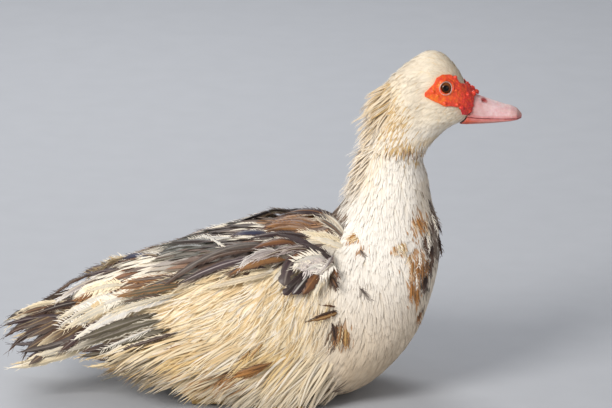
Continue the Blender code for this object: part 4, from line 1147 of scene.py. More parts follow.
wingQuills = (
    ((164, 319), (121, 331), (68, 351), 5.4, 2.0, "olive", "pale", "grey", 0.25),
    ((159, 312), (120, 325), (80, 339), 5.0, 2.6, "olive", "slate", "grey", 0.25),
    ((159, 326), (132, 337), (104, 349), 1.6, 3.0, "white", "pale", "pale", 0.15),
    ((173, 328), (139, 338), (108, 346), 4.2, 1.8, "olive", "dark", "grey", 0.25),
    ((180, 333), (148, 340), (104, 356), 2.6, 2.4, "pale", "cream", "cream", 0.15),
    ((178, 296), (126, 311), (76, 340), 5.4, 3.2, "white", "pale", "cream", 0.15),
    ((184, 291), (150, 301), (112, 313), 2.2, 3.6, "bone", "cream", "cream", 0.15),
    ((150, 296), (106, 308), (66, 330), 4.6, 2.4, "bone", "cream", "cream", 0.15),
    ((126, 290), (98, 300), (60, 318), 4.4, 2.6, "white", "cream", "cream", 0.15),
    ((112, 275), (86, 284), (57, 303), 4.6, 2.8, "lilac", "white", "cream", 0.15),
    ((102, 291), (90, 296), (80, 302), 2.8, 4.2, "rust", "ochre", "ochre", 0.3),
    ((94, 300), (64, 305), (34, 316), 3.4, 3.4, "dark", "brown", "grey", 0.3),
    ((190, 282), (156, 289), (120, 297), 4.0, 4.0, "olive", "ochre", "ochre", 0.3),
    ((186, 276), (156, 283), (122, 290), 3.2, 3.8, "brown", "ochre", "ochre", 0.3),
    ((166, 294), (146, 297), (124, 303), 2.2, 4.2, "slate", "olive", "ochre", 0.3),
    ((110, 271), (74, 281), (47, 300), 2.4, 2.6, "brown", "dark", "grey", 0.3),
    ((136, 264), (110, 265), (82, 273), 5.4, 3.4, "brown", "dark", "grey", 0.3),
    ((130, 270), (108, 272), (84, 276), 3.6, 3.8, "purple", "dark", "grey", 0.3),
    ((108, 318), (88, 331), (64, 350), 4.6, 4.2, "purple", "brown", "grey", 0.3),
    ((200, 272), (170, 281), (132, 295), 4.4, 3.0, "slate", "cream", "grey", 0.3),
    ((188, 272), (160, 278), (128, 282), 3.4, 3.4, "brown", "ochre", "grey", 0.3),
    ((276, 244), (222, 252), (164, 288), 5.0, 3.6, "slate", "brown", "grey", 0.4),
    ((276, 255), (230, 263), (182, 284), 4.6, 3.2, "purple", "slate", "lilac", 0.4),
    ((262, 247), (214, 258), (172, 282), 3.6, 3.0, "brown", "dark", "grey", 0.3),
    ((250, 262), (214, 272), (174, 292), 3.4, 2.6, "brown", "cream", "grey", 0.3),
    ((276, 270), (240, 280), (206, 288), 3.0, 2.6, "beige", "cream", "pale", 0.2),
    ((168, 264), (146, 257), (122, 259), 4.0, 3.4, "blue", "dark", "slate", 0.6),
    ((176, 252), (150, 252), (122, 260), 4.2, 2.6, "ivory", "white", "cream", 0.2),
    ((170, 258), (154, 256), (140, 258), 3.0, 3.6, "brown", "white", "cream", 0.2),
    ((212, 247), (184, 248), (156, 257), 5.2, 2.8, "green", "dark", "slate", 0.75),
    ((230, 241), (198, 242), (162, 246), 4.0, 3.4, "dark", "green", "slate", 0.7),
    ((240, 234), (204, 236), (168, 243), 3.0, 3.6, "dark", "brown", "slate", 0.5),
    ((244, 238), (214, 239), (190, 241), 3.0, 3.8, "white", "pale", "slate", 0.3),
    ((240, 224), (208, 228), (178, 238), 4.6, 3.2, "lilac", "slate", "pale", 0.3),
    ((256, 222), (230, 226), (202, 231), 3.6, 3.4, "ivory", "white", "pale", 0.3),
    ((276, 235), (256, 233), (234, 237), 3.4, 3.6, "blue", "purple", "slate", 0.5),
    ((272, 228), (246, 227), (218, 232), 3.8, 3.4, "brown", "purple", "grey", 0.35),
    ((293, 209), (262, 211), (229, 224), 4.6, 3.0, "olive", "brown", "ochre", 0.35),
    ((280, 212), (258, 217), (236, 224), 3.6, 3.4, "ivory", "white", "pale", 0.35),
    ((343, 235), (322, 213), (284, 214), 4.6, 0.8, "purple", "dark", "ochre", 0.4),
    ((342, 236), (316, 215), (274, 219), 5.0, 1.2, "olive", "purple", "ochre", 0.4),
    ((340, 237), (313, 217), (268, 224), 5.4, 1.8, "brown", "purple", "ochre", 0.4),
    ((346, 238), (338, 224), (324, 214), 3.0, 2.4, "bone", "slate", "ochre", 0.3),
    ((324, 236), (296, 226), (268, 229), 4.8, 3.4, "rust", "ochre", "ochre", 0.35),
    ((338, 237), (309, 218), (266, 227), 5.4, 2.6, "ochre", "purple", "ochre", 0.4),
    ((334, 238), (304, 221), (262, 230), 5.6, 3.0, "ochre", "brown", "rust", 0.4),
    ((330, 237), (300, 224), (262, 231), 5.0, 3.6, "rust", "purple", "ochre", 0.4),
    ((326, 237), (298, 229), (266, 234), 4.0, 4.0, "ochre", "brown", "grey", 0.35),
    ((318, 238), (286, 234), (250, 241), 3.8, 3.8, "purple", "dark", "grey", 0.35),
    ((345, 241), (334, 227), (316, 219), 3.0, 3.6, "slate", "ivory", "ochre", 0.3),
    ((330, 257), (306, 244), (278, 236), 3.8, 4.6, "purple", "dark", "slate", 0.4),
    ((336, 262), (322, 252), (302, 245), 3.0, 4.8, "dark", "purple", "slate", 0.4),
    ((346, 241), (324, 237), (300, 234), 4.6, 5.4, "cream", "pale", "cream", 0.1),
    ((348, 247), (330, 243), (310, 240), 4.6, 5.2, "pale", "cream", "cream", 0.1),
    ((318, 252), (300, 249), (280, 255), 3.0, 4.0, "brown", "lilac", "pale", 0.15),
    ((312, 252), (288, 250), (256, 262), 4.0, 3.6, "brown", "lilac", "pale", 0.3),
    ((300, 243), (280, 242), (254, 250), 4.0, 3.6, "rust", "purple", "ochre", 0.4),
    ((292, 258), (262, 262), (230, 276), 4.0, 3.4, "ochre", "brown", "ochre", 0.35),
    ((284, 252), (262, 254), (240, 269), 4.2, 3.8, "lilac", "white", "slate", 0.3),
    ((270, 266), (246, 268), (222, 278), 3.4, 3.0, "purple", "cream", "slate", 0.3),
    ((322, 264), (308, 264), (294, 270), 4.0, 5.2, "white", "pale", "pale", 0.1),
    ((318, 256), (304, 255), (288, 261), 3.2, 4.6, "rust", "purple", "ochre", 0.2),
    ((332, 264), (322, 278), (314, 300), 3.4, 3.8, "pale", "cream", "cream", 0.2),
    ((335, 252), (328, 264), (322, 276), 3.0, 4.4, "lilac", "brown", "white", 0.3),
    ((276, 362), (253, 366), (226, 373), 2.8, 7.0, "ochre", "brown", "amber", 0.2),
    ((270, 366), (250, 370), (224, 376), 2.4, 7.8, "amber", "ochre", "amber", 0.2),
    ((266, 370), (244, 374), (218, 381), 2.4, 7.4, "ochre", "amber", "gold", 0.2),
    ((254, 373), (230, 378), (202, 385), 3.8, 6.8, "slate", "brown", "gold", 0.25),
    ((246, 384), (226, 388), (206, 392), 3.0, 6.4, "bone", "cream", "cream", 0.1),
    ((180, 332), (150, 340), (114, 351), 1.8, 4.8, "brown", "dark", "grey", 0.3),
    ((182, 340), (152, 345), (116, 353), 1.8, 4.6, "dark", "straw", "gold", 0.2),
)
rumpWork = dict(quillWork, fringe=9, fringeLength=0.0038, fringeWidth=0.00026, fringeTurn=0.30)
# Short broad feathers at the bend of the wing
bluntWork = dict(quillWork, vane=(0.30, 0.60, 0.88, 1.0, 1.0, 0.92, 0.10), fringe=8, fringeLength=0.0026)
bluntQuills = (
    ((309, 257), (293, 263), (285, 286), 6.6, 5.0, "purple", "slate", "grey", 0.4),
    ((312, 267), (298, 281), (284, 294), 4.0, 5.4, "dark", "purple", "slate", 0.4),
    ((318, 265), (306, 279), (293, 294), 5.4, 6.0, "dark", "purple", "white", 0.4),
    ((324, 264), (315, 278), (303, 294), 5.4, 5.6, "rust", "brown", "ochre", 0.35),
    ((200, 232), (214, 241), (228, 250), 1.2, 6.5, "white", "pale", "white", 0.2),      # lies across
)
# Worn white feathers with long loose barbs
frayedWork = dict(quillWork, fringe=26, fringeLength=0.0066, fringeWidth=0.00085, fringeTurn=0.95)
frayedQuills = (
    ((128, 283), (108, 287), (88, 294), 2.6, 4.2, "bone", "cream", "cream", 0.1),
    ((124, 301), (94, 308), (62, 326), 2.8, 4.4, "bone", "white", "cream", 0.1),
    ((114, 313), (90, 320), (64, 331), 2.6, 4.6, "white", "bone", "cream", 0.1),
    ((134, 295), (120, 299), (104, 306), 2.2, 4.6, "white", "bone", "cream", 0.1),
    ((128, 262), (120, 263), (110, 268), 2.0, 3.6, "white", "bone", "cream", 0.1),
    ((331, 257), (314, 258), (295, 264), 2.6, 5.4, "white", "pale", "pale", 0.1),
    ((331, 263), (318, 266), (304, 272), 2.6, 5.6, "white", "lilac", "pale", 0.1),
    ((336, 262), (328, 268), (320, 275), 2.0, 4.6, "pale", "white", "pale", 0.1),
)
# Pointed dark feathers in front of the flank
pointedVane = (0.25, 0.55, 0.9, 1.0, 0.52, 0.20, 0.02)
pointedWork = dict(quillWork, vane=pointedVane, digPower=1.6, fringe=4, fringeLength=0.002)
pointedQuills = (
    ((339, 312), (326, 316), (306, 321), 2.7, 2.4, "ochre", "brown", "gold", 0.15),
    ((339, 310), (325, 313), (307, 320), 1.2, 3.2, "brown", "dark", "dark", 0.25),
    ((337, 306), (331, 305), (321, 304), 1.0, 2.8, "rust", "brown", "dark", 0.2),
)
# Small marked feathers of the breast and single ones on the flank
breastWork = dict(quillWork, digPower=1.4, fringe=8, fringeLength=0.0032, fringeWidth=0.00045, spread=0.007)
breastQuills = (
    ((333, 264), (336, 270), (338, 278), 1.8, 3.0, "rust", "brown", "ochre", 0.2),
    ((417, 212), (419, 220), (422, 231), 2.2, 1.6, "amber", "ochre", "ochre", 0.15),
    ((412, 214), (414, 221), (417, 229), 1.6, 1.6, "amber", "beige", "ochre", 0.15),
    ((424, 215), (426, 223), (428, 233), 1.6, 1.6, "ochre", "beige", "rust", 0.15),
    ((426, 192), (432, 204), (439, 222), 1.2, 1.6, "slate", "grey", "grey", 0.15),
    ((429, 200), (434, 212), (439, 224), 1.4, 1.6, "brown", "grey", "grey", 0.15),
    ((437, 216), (440, 225), (443, 233), 1.5, 1.6, "dark", "brown", "brown", 0.15),
    ((432, 214), (434, 226), (434, 239), 1.6, 1.6, "brown", "grey", "grey", 0.15),
    ((424, 229), (426, 239), (428, 252), 2.2, 1.8, "brown", "dark", "rust", 0.15),
    ((438, 228), (441, 241), (442, 256), 2.2, 1.6, "dark", "brown", "brown", 0.15),
    ((432, 237), (433, 248), (432, 261), 2.6, 1.8, "dark", "brown", "brown", 0.15),
    ((394, 240), (395, 247), (396, 254), 1.2, 1.4, "amber", "beige", "ochre", 0.1),
    ((402, 239), (404, 246), (405, 254), 1.4, 1.4, "straw", "beige", "ochre", 0.1),
    ((398, 240), (400, 246), (401, 252), 1.4, 1.4, "cream", "pale", "gold", 0.1),
    ((412, 246), (411, 254), (409, 262), 1.6, 1.4, "amber", "cream", "ochre", 0.1),
    ((416, 248), (414, 264), (411, 279), 2.0, 1.6, "amber", "beige", "ochre", 0.15),
    ((420, 250), (419, 265), (417, 281), 2.2, 1.6, "amber", "ochre", "rust", 0.15),
    ((424, 252), (424, 267), (422, 281), 2.0, 1.6, "ochre", "brown", "ochre", 0.15),
    ((421, 244), (421, 254), (419, 266), 0.9, 2.2, "pale", "white", "pale", 0.1),
    ((416, 262), (417, 272), (417, 286), 0.9, 2.4, "pale", "white", "pale", 0.1),
    ((428, 228), (429, 238), (429, 250), 0.9, 2.4, "pale", "white", "pale", 0.1),
    ((431, 206), (434, 218), (437, 232), 0.8, 2.4, "bone", "white", "pale", 0.1),
    ((428, 250), (428, 262), (427, 274), 2.0, 1.4, "brown", "ochre", "ochre", 0.15),
    ((415, 278), (413, 288), (411, 299), 1.8, 1.6, "amber", "ochre", "rust", 0.15),
    ((420, 279), (419, 290), (417, 303), 2.0, 1.6, "amber", "ochre", "rust", 0.15),
    ((429, 268), (427, 279), (423, 291), 3.2, 1.8, "dark", "brown", "brown", 0.15),
    ((434, 250), (433, 262), (430, 275), 2.6, 1.6, "brown", "slate", "grey", 0.15),
    ((423, 307), (421, 314), (419, 322), 1.8, 1.2, "brown", "ochre", "ochre", 0.15),
    ((361, 231), (356, 234), (349, 239), 1.3, 1.4, "amber", "straw", "ochre", 0.1),
    ((363, 236), (358, 238), (353, 241), 0.9, 1.4, "straw", "cream", "ochre", 0.1),
    ((356, 246), (361, 250), (365, 255), 1.0, 1.2, "brown", "grey", "grey", 0.1),
    ((353, 283), (361, 288), (370, 298), 1.6, 1.2, "slate", "grey", "grey", 0.1),
    ((332, 274), (335, 281), (338, 288), 2.4, 1.8, "brown", "dark", "ochre", 0.1),
    ((333, 322), (335, 331), (336, 340), 1.6, 1.2, "dark", "brown", "brown", 0.1),
    ((338, 324), (337, 333), (335, 342), 1.8, 1.4, "brown", "ochre", "ochre", 0.1),
    ((343, 325), (341, 335), (338, 345), 2.0, 1.4, "ochre", "cream", "ochre", 0.1),
    ((348, 326), (347, 336), (347, 346), 2.0, 1.2, "straw", "ochre", "ochre", 0.1),
    ((330, 300), (327, 312), (318, 324), 1.2, 1.0, "gold", "cream", "gold", 0.1),
    ((266, 342), (257, 351), (248, 360), 1.2, 1.0, "ochre", "gold", "gold", 0.1),
    ((252, 350), (244, 358), (234, 364), 1.2, 1.0, "ochre", "gold", "gold", 0.1),
    ((236, 356), (216, 361), (196, 365), 2.2, 0.8, "beige", "ochre", "gold", 0.1),
    ((204, 338), (198, 346), (190, 355), 1.2, 1.2, "ochre", "gold", "gold", 0.1),
    ((190, 341), (180, 345), (168, 349), 1.4, 1.2, "ochre", "brown", "gold", 0.1),
)
# Long feathers over the side of the tail
rumpQuills = (
    ((105, 322), (68, 342), (30, 356), 4.4, 1.4, "slate", "purple", "grey", 0.3),
    ((120, 330), (84, 344), (52, 352), 3.4, 1.2, "slate", "pale", "grey", 0.3),
    ((104, 338), (58, 358), (9, 368), 4.0, 1.0, "cream", "pale", "cream", 0.15),
    ((92, 338), (56, 350), (26, 361), 3.4, 1.6, "ivory", "cream", "cream", 0.15),
    ((84, 336), (50, 346), (20, 352), 3.0, 1.2, "slate", "dark", "grey", 0.3),
    ((72, 318), (36, 318), (2, 327), 3.0, 1.2, "purple", "dark", "grey", 0.3),
    ((74, 310), (44, 308), (12, 320), 2.8, 1.6, "brown", "cream", "ochre", 0.3),
    ((76, 304), (46, 303), (18, 313), 2.4, 2.0, "cream", "ivory", "cream", 0.2),
    ((66, 326), (34, 332), (9, 352), 2.8, 1.4, "dark", "brown", "grey", 0.35),
    ((70, 330), (40, 338), (24, 361), 2.4, 1.2, "dark", "slate", "grey", 0.35),
    ((60, 322), (28, 326), (4, 338), 2.4, 1.0, "brown", "dark", "grey", 0.35),
    ((80, 342), (48, 356), (14, 364), 2.6, 0.8, "pale", "gold", "cream", 0.2),
    ((140, 352), (116, 362), (90, 366), 3.0, 0.8, "cream", "gold", "cream", 0.2),
    ((154, 352), (134, 364), (124, 372), 2.6, 1.0, "gold", "cream", "cream", 0.2),
    ((136, 348), (112, 354), (80, 354), 3.0, 0.6, "dark", "gold", "grey", 0.2),
    ((160, 348), (128, 358), (96, 358), 3.0, 0.6, "dark", "brown", "grey", 0.3),
    ((168, 354), (140, 364), (108, 366), 2.6, 0.6, "brown", "straw", "grey", 0.3),
    ((176, 360), (150, 369), (126, 373), 2.4, 0.6, "purple", "dark", "grey", 0.3),
    ((150, 344), (120, 351), (88, 350), 3.0, 0.6, "brown", "dark", "grey", 0.3),
    ((150, 340), (114, 349), (76, 358), 2.2, 1.0, "straw", "cream", "cream", 0.2),
    ((76, 332), (44, 342), (10, 344), 2.6, 1.0, "purple", "dark", "grey", 0.3),
    ((80, 336), (46, 350), (20, 366), 2.2, 1.2, "dark", "purple", "grey", 0.3),
    ((66, 314), (34, 312), (6, 330), 2.0, 1.4, "bone", "cream", "cream", 0.2),
    ((152, 338), (120, 344), (84, 351), 4.6, 1.2, "dark", "brown", "grey", 0.2),
    ((146, 342), (116, 349), (82, 356), 3.6, 1.4, "olive", "dark", "grey", 0.2),
    ((140, 344), (112, 352), (84, 360), 2.0, 1.8, "straw", "cream", "cream", 0.2),
    ((150, 348), (128, 357), (104, 367), 2.0, 2.0, "cream", "straw", "cream", 0.2),
    ((156, 350), (134, 360), (108, 371), 1.8, 2.0, "straw", "brown", "cream", 0.2),
)
quillSets = (
    ("rumpFeathers", rumpQuills, rumpWork, "pied_feathers"),
    ("bluntFeathers", bluntQuills, bluntWork, "pied_feathers"),
    ("frayedFeathers", frayedQuills, frayedWork, "pied_feathers"),
    ("pointedFeathers", pointedQuills, pointedWork, "breast_feathers"),
    ("breastFeathers", breastQuills, breastWork, "breast_feathers"),
)


def depthSeen(column, row):
    # y of the frame's surface at a photo pixel, or of the line of sight where it passes nearest
    x, rise = fromPhoto(column, row)
    start = Vector((x, 0.0, rise)) - viewWay * quillWork["castFrom"]
    spot = coverTree.ray_cast(start, viewWay)[0]
    if spot:
        return spot.y, True
    looks = quillWork["looks"]
    spots = [start + viewWay * (quillWork["near"] + quillWork["span"] * i / looks) for i in range(looks + 1)]
    gaps = [coverTree.find_nearest(spot)[3] for spot in spots]
    return spots[int(np.argmin(gaps))].y, False


def quillPath(rootPixel, middlePixel, tipPixel, height, work):
    # a curve through three photo pixels, laid over the frame's surface
    root, middle, tip = (np.array(pixel, float) for pixel in (rootPixel, middlePixel, tipPixel))
    turn = 2 * middle - (root + tip) / 2
    t = np.linspace(0, 1, work["stations"])
    pixels = [root * (1 - s) ** 2 + turn * 2 * s * (1 - s) + tip * s ** 2 for s in t]
    found = [depthSeen(*pixel) for pixel in pixels]
    depths = np.array([depth for depth, _ in found])
    hit = np.array([float(sure) for _, sure in found])
    middleDepth = np.median(depths[hit > 0]) if hit.any() else np.median(depths)
    depths = np.clip(depths, middleDepth - quillWork["jump"], middleDepth + quillWork["jump"])
    skew = np.clip(np.polyfit(t, depths, 1)[0], -quillWork["skew"], quillWork["skew"])
    line = np.median(depths) + skew * (t - 0.5)
    depths = line + np.clip(depths - line, -quillWork["give"], quillWork["give"])
    for _ in range(quillWork["easing"]):
        depths[1:-1] = (depths[:-2] + depths[1:-1] * 2 + depths[2:]) / 4
        hit[1:-1] = (hit[:-2] + hit[1:-1] * 2 + hit[2:]) / 4
    spots = [fromPhoto(*pixel) for pixel in pixels]
    places = np.array([(x, depth, rise - slope * depth) for (x, rise), depth in zip(spots, depths)])
    _, ups, _ = nearestSkin(places)
    for _ in range(quillWork["easing"]):
        ups[1:-1] = (ups[:-2] + ups[1:-1] * 2 + ups[2:]) / 4
    turned = quillWork["facing"] * (1.2 - np.clip(ups @ -np.array(viewWay), 0, 1))
    ups = unit(unit(ups) - np.array(viewWay) * turned[:, None])
    climb = height * 0.001 * t ** 0.5 - quillWork["sink"] - work["digIn"] * (1 - t) ** work["digPower"]
    return places + ups * (climb * np.maximum(hit, 0.25))[:, None], ups


def vaneTones(tones, across, t, work, draw):
    # tone by feather, station and ring point: edge, tip and shaft apart, and the two halves a little apart
    vane, edge, shaft = (part[:, None, None] for part in tones)
    count = len(vane)
    edgeShare = np.clip((abs(across) - 0.6) / 0.4, 0, 1)[None, None, :, None]
    onShaft = (abs(across) < 0.1).astype(float)[None, None, :, None]
    nearTip = smooth(0.70, 1.0, t)[None, :, None, None]
    halfShade = draw.uniform(*work["halfShade"], (count, 1, 2))[:, :, (across > 0).astype(int)][..., None]
    patchy = draw.uniform(*work["patchShade"], (count, len(t), 1, 1)) * halfShade
    pull = np.maximum(edgeShare * work["edgeShare"], nearTip * work["tipShare"])
    colours = vane * 0.90 * patchy * (1 - pull) + edge * pull
    colours = colours + (shaft - colours) * onShaft * work["shaftShare"]
    # painted shade: each vane is darker towards its root, where the feathers over it would shadow it
    return colours * 0.88 * (0.75 + 0.25 * t ** 0.6)[None, :, None, None]


def barbBatches(paths, ups, widths, shape, tones, gloss, maps, seed, work, draw):
    # loose barbs along both edges, each from its place between two stations
    count, stations, _ = paths.shape
    fringe = work["fringe"]
    along = unit(np.gradient(paths, axis=1))
    side = unit(np.cross(along, ups))
    share = np.linspace(*work["barbs"], fringe)
    slot = share * (stations - 1)
    low = np.minimum(slot.astype(int), stations - 2)
    part = (slot - low)[None, :, None]

    def between(values):
        return values[:, low] * (1 - part) + values[:, low + 1] * part

    base, way, out, top = between(paths), unit(between(along)), unit(between(side)), unit(between(ups))
    reach = np.interp(share, np.linspace(0, 1, stations), shape)[None, :, None] * widths[:, None, None]
    steps = np.linspace(0, 1, work["fringeStations"])
    ahead = steps[None, None, :, None]
    narrow = work["fringeWidth"] * np.interp(steps, (0, 0.5, 1), (1.0, 0.8, 0.1))
    narrow = np.broadcast_to(narrow, (count * fringe, len(steps)))
    normals = np.repeat(top.reshape(-1, 1, 3), len(steps), axis=1)
    tint = np.repeat((tones[1] * 0.75 + tones[0] * 0.25)[:, None], fringe, axis=1).reshape(-1, 1, 1, 3)
    tint = tint * np.ones((1, len(steps), len(tuftSection), 1))
    spread, shine = np.repeat(maps, fringe, axis=0), np.repeat(gloss * 0.5, fringe)
    batches = []
    for hand in (-1, 1):
        turn = work["fringeTurn"] + draw.uniform(-0.25, 0.35, (count, fringe, 1))
        start = base + out * reach * hand * work["barbRoot"]
        heading = way * np.cos(turn) + out * hand * np.sin(turn)
        length = work["fringeLength"] * draw.uniform(0.5, 1.5, (count, fringe, 1))
        drift = draw.normal(0, work["barbDrift"], (count, fringe, 1))
        bent = heading[:, :, None] * ahead + way[:, :, None] * ahead ** 2 * work["barbBend"]
        barbs = start[:, :, None] + length[:, :, None] * (bent + top[:, :, None] * drift[:, :, None] * ahead)
        barbs = barbs.reshape(count * fringe, len(steps), 3)
        batches.append(batchOf(
            barbs, normals, narrow, narrow * work["barbThick"], tuftSection,
            length.reshape(-1), spread, tint, shine, seed
        ))
    return batches


def quillBatches(paths, ups, widths, tones, gloss, seed, work):
    # vanes with worn edges, and the barbs along them
    draw = np.random.default_rng(seed)
    count, stations, _ = paths.shape
    t = np.linspace(0, 1, stations)
    shape = np.interp(t, (0, 0.06, 0.2, 0.5, 0.78, 0.93, 1), work["vane"])
    across = np.array([p[0] for p in vaneSection])
    worn = 1 - work["worn"] * draw.random((count, stations, 2)) ** 2.2
    edges = np.where(across[None, None] < 0, worn[..., :1], worn[..., 1:])
    edges = np.where(abs(across)[None, None] > 0.5, edges, 1.0)
    halves = (widths[:, None] * shape[None])[:, :, None] * edges
    thick = np.full((count, stations), work["thickness"])
    lengths = np.linalg.norm(np.diff(paths, axis=1), axis=2).sum(axis=1)
    _, _, maps = nearestSkin(paths[:, stations // 3])
    colours = vaneTones(tones, across, t, work, draw)
    vanes = batchOf(
        paths, ups, halves, thick, vaneSection, lengths, maps, colours, gloss,
        seed + 1, work["slant"], work["dome"]
    )
    return [vanes] + barbBatches(paths, ups, widths, shape, tones, gloss, maps, seed + 5, work, draw)


def quillPiece(name, quills, side, work):
    # the feathers listed above; the far side has the same ones, a little astray
    draw = np.random.default_rng(quillWork["seed"] + side)
    paths, normals, widths, tones, gloss = [], [], [], [], []
    for root, middle, tip, half, height, vane, edge, shaft, shine in quills:
        astray = draw.normal(0, quillWork["jitter"], (3, 2)) * (side > 0)
        pixels = np.array((root, middle, tip)) + astray
        path, ups = quillPath(*pixels, height + draw.uniform(-0.3, 0.3), work)
        crosses = path[:, 1].mean() > quillWork["midline"] or np.ptp(path[:, 1]) > work["spread"]
        if side > 0 and crosses:
            continue
        mirror = np.array((1, -side, 1))
        paths.append(underSkyline(path * mirror, half * 0.0005))
        normals.append(ups * mirror)
        widths.append(half * 0.001)
        tones.append((tone(vane), tone(edge), tone(shaft)))
        gloss.append(shine)
    tones = np.array(tones)
    colours = (tones[:, 0], tones[:, 1], tones[:, 2])
    seed = quillWork["seed"] + 10 * side
    paths, normals, widths, gloss = (np.array(values) for values in (paths, normals, widths, gloss))
    return featherPiece(name, quillBatches(paths, normals, widths, colours, gloss, seed, work), vaneMaterial)


coverTree = treeOf("torso", "neck", "wing_right", "wing_left", "tail")
for side, label in sides:
    node = "wing_right" if side < 0 else "wing_left"
    place(quillPiece("wingFeathers" + label, wingQuills, side, quillWork), "pied_feathers", node)
    for name, quills, work, slot in quillSets:
        if name == "bluntFeathers" and side > 0:
            quills = quills[:-1]        # the one that lies across is only on the right
        place(quillPiece(name + label, quills, side, work), slot)
place(skin, "pied_feathers", "torso", "neck", "head")

# Tail fan: long feathers in two layers, drooping at both sides
tailWork = {
    "rootX": -0.128, "rootZ": 0.0935, "tipX": -0.232, "tipZ": 0.0635, "droop": 0.026, "halfRoot": 0.014,
    "halfTip": 0.056, "feathers": 11, "stations": 14, "width": 0.0068, "layer": 0.0016, "seed": 307,
    "rootAlong": -0.10, "sideShort": 0.020, "gloss": 0.3,
    "tones": (          # vane, edge
        ("slate", "dark"), ("brown", "slate"), ("dark", "brown"), ("brown", "cream"), ("purple", "dark"),
    ),
}


def tailPath(across, reach, level):
    # a feather of the fan, across from -1 to 1, from inside the rump to its reach
    along = np.linspace(tailWork["rootAlong"], reach, tailWork["stations"])
    half = blend(tailWork["halfRoot"], tailWork["halfTip"], np.maximum(along, 0) ** 0.85)
    x = blend(tailWork["rootX"], tailWork["tipX"] + tailWork["sideShort"] * across ** 2, along)
    y = across * half
    droop = tailWork["droop"] * across ** 2 * blend(0.25, 1.0, along)
    z = blend(tailWork["rootZ"], tailWork["tipZ"], np.maximum(along, 0) ** 1.15) - droop + level
    tiltOut = 2 * across * tailWork["droop"] / tailWork["halfTip"]
    up = unit(np.array((0.25, tiltOut, 1.0)))
    return np.stack([x, y, z], axis=1), np.tile(up, (len(along), 1))


def tailPiece():
    draw = np.random.default_rng(tailWork["seed"])
    paths, normals, widths, vanes, edges = [], [], [], [], []
    for layer in (0, 1):
        count = tailWork["feathers"] - layer
        for i in range(count):
            across = -1 + 2 * (i + 0.5 * layer) / (tailWork["feathers"] - 1) + draw.normal(0, 0.015)
            level = (layer * 1.6 - abs(across) * 1.2) * tailWork["layer"] + draw.uniform(-0.0006, 0.0006)
            reach = 1.0 - 0.10 * layer - draw.random() * 0.05
            path, ups = tailPath(across, reach, level)
            paths.append(path)
            normals.append(ups)
            widths.append(tailWork["width"] * draw.uniform(0.85, 1.1))
            vane, edge = tailWork["tones"][draw.integers(0, len(tailWork["tones"]))]
            vanes.append(tone(vane))
            edges.append(tone(edge))
    vanes, edges = np.array(vanes), np.array(edges)
    shafts = blend(vanes, tone("buff"), 0.5)
    gloss = np.full(len(paths), tailWork["gloss"])
    colours = (vanes, edges, shafts)
    paths, normals, widths = (np.array(values) for values in (paths, normals, widths))
    batches = quillBatches(paths, normals, widths, colours, gloss, tailWork["seed"], rumpWork)
    return featherPiece("tailFeathers", batches, vaneMaterial)


place(tailPiece(), "pied_feathers", "tail")


def skinPaint():
    paint = Paint("downySkin", {"Roughness": 0.8, "Specular IOR Level": 0.25, "Sheen Weight": 0.15})
    colour = paint.attribute("tone")
    fine = paint.noise(paint.scaled(paint.objectPlace(), (300.0, 420.0, 300.0)), 1.0, 3.0, 0.6)
    # painted shade: the skin seen between the feathers is a little darker and warmer than the coat's tone
    shade = 0.74 + fine * 0.35
    base = paint.shaded(colour, shade, shade * 0.94, shade * 0.84)
    return paint.finish(Base_Color=base, Normal=paint.bump(fine, 0.0006, 0.6))


setTone(skin.data, coatTone(skinPoints, vertexNormals, 401))
skin.data.materials.clear()
skin.data.materials.append(skinPaint())

# Bare red face: caruncles crowd together round the eye and the base of the bill
face = {
    "voxel": 0.00050, "rounds": 3, "bulbs": 420, "seed": 503, "smallest": 0.0005, "largest": 0.0013,
    "height": 0.30, "sink": 0.0001,
    "rear": (0.94, 0.105, 0.014), "front": (0.80, 0.042, 0.018), "crimson": (0.66, 0.028, 0.022),
    "deep": 0.78,               # shade between the caruncles, which reach full tone at this height
    "raised": 0.00030,
    "brow": (0.1838, 0.1905),   # x of the larger caruncles over the ridge of the forehead
    "browBulbs": 6, "browRadius": 0.0014, "browStray": 0.0022, "browSunk": 0.35, "above": 0.34,
}


def makeFace():
    piece = copyNodes("bareFace", "face_mask")
    remesh(piece, face["voxel"])
    relax(piece, face["rounds"])
    places, outwards = pointsOf(piece.data), normalsOf(piece.data)
    draw = np.random.default_rng(face["seed"])
    swell = np.zeros(len(places))
    for side, _ in sides:
        onSide = np.flatnonzero((places[:, 1] * side > 0.004) & (outwards[:, 1] * side > 0.2))
        for index in draw.choice(onSide, face["bulbs"], replace=False):
            centre = places[index]
            front = smooth(0.160, 0.200, centre[0])
            radius = blend(face["smallest"], face["largest"], draw.random() ** 1.5 * (0.35 + 0.65 * front))
            away = np.linalg.norm(places - centre, axis=1) / radius
            rise = radius * face["height"] * np.sqrt(np.clip(1 - away ** 2, 0, 1))
            swell = np.maximum(swell, rise)
    setPoints(piece.data, places + outwards * (swell - face["sink"])[:, None])
    front = smooth(0.158, 0.190, places[:, 0])
    low = fade(0.262, 0.272, places[:, 2])
    tones = blend(np.tile(face["rear"], (len(places), 1)), np.array(face["front"]), front)
    tones = blend(tones, np.array(face["crimson"]), low)
    raised = np.clip(swell / face["raised"], 0, 1)
    tones = tones * blend(face["deep"], 1.0, raised)[:, None]
    setTone(piece.data, tones)
    applyModifier(piece, "TRIANGULATE")
    piece.data.shade_smooth()
    return piece


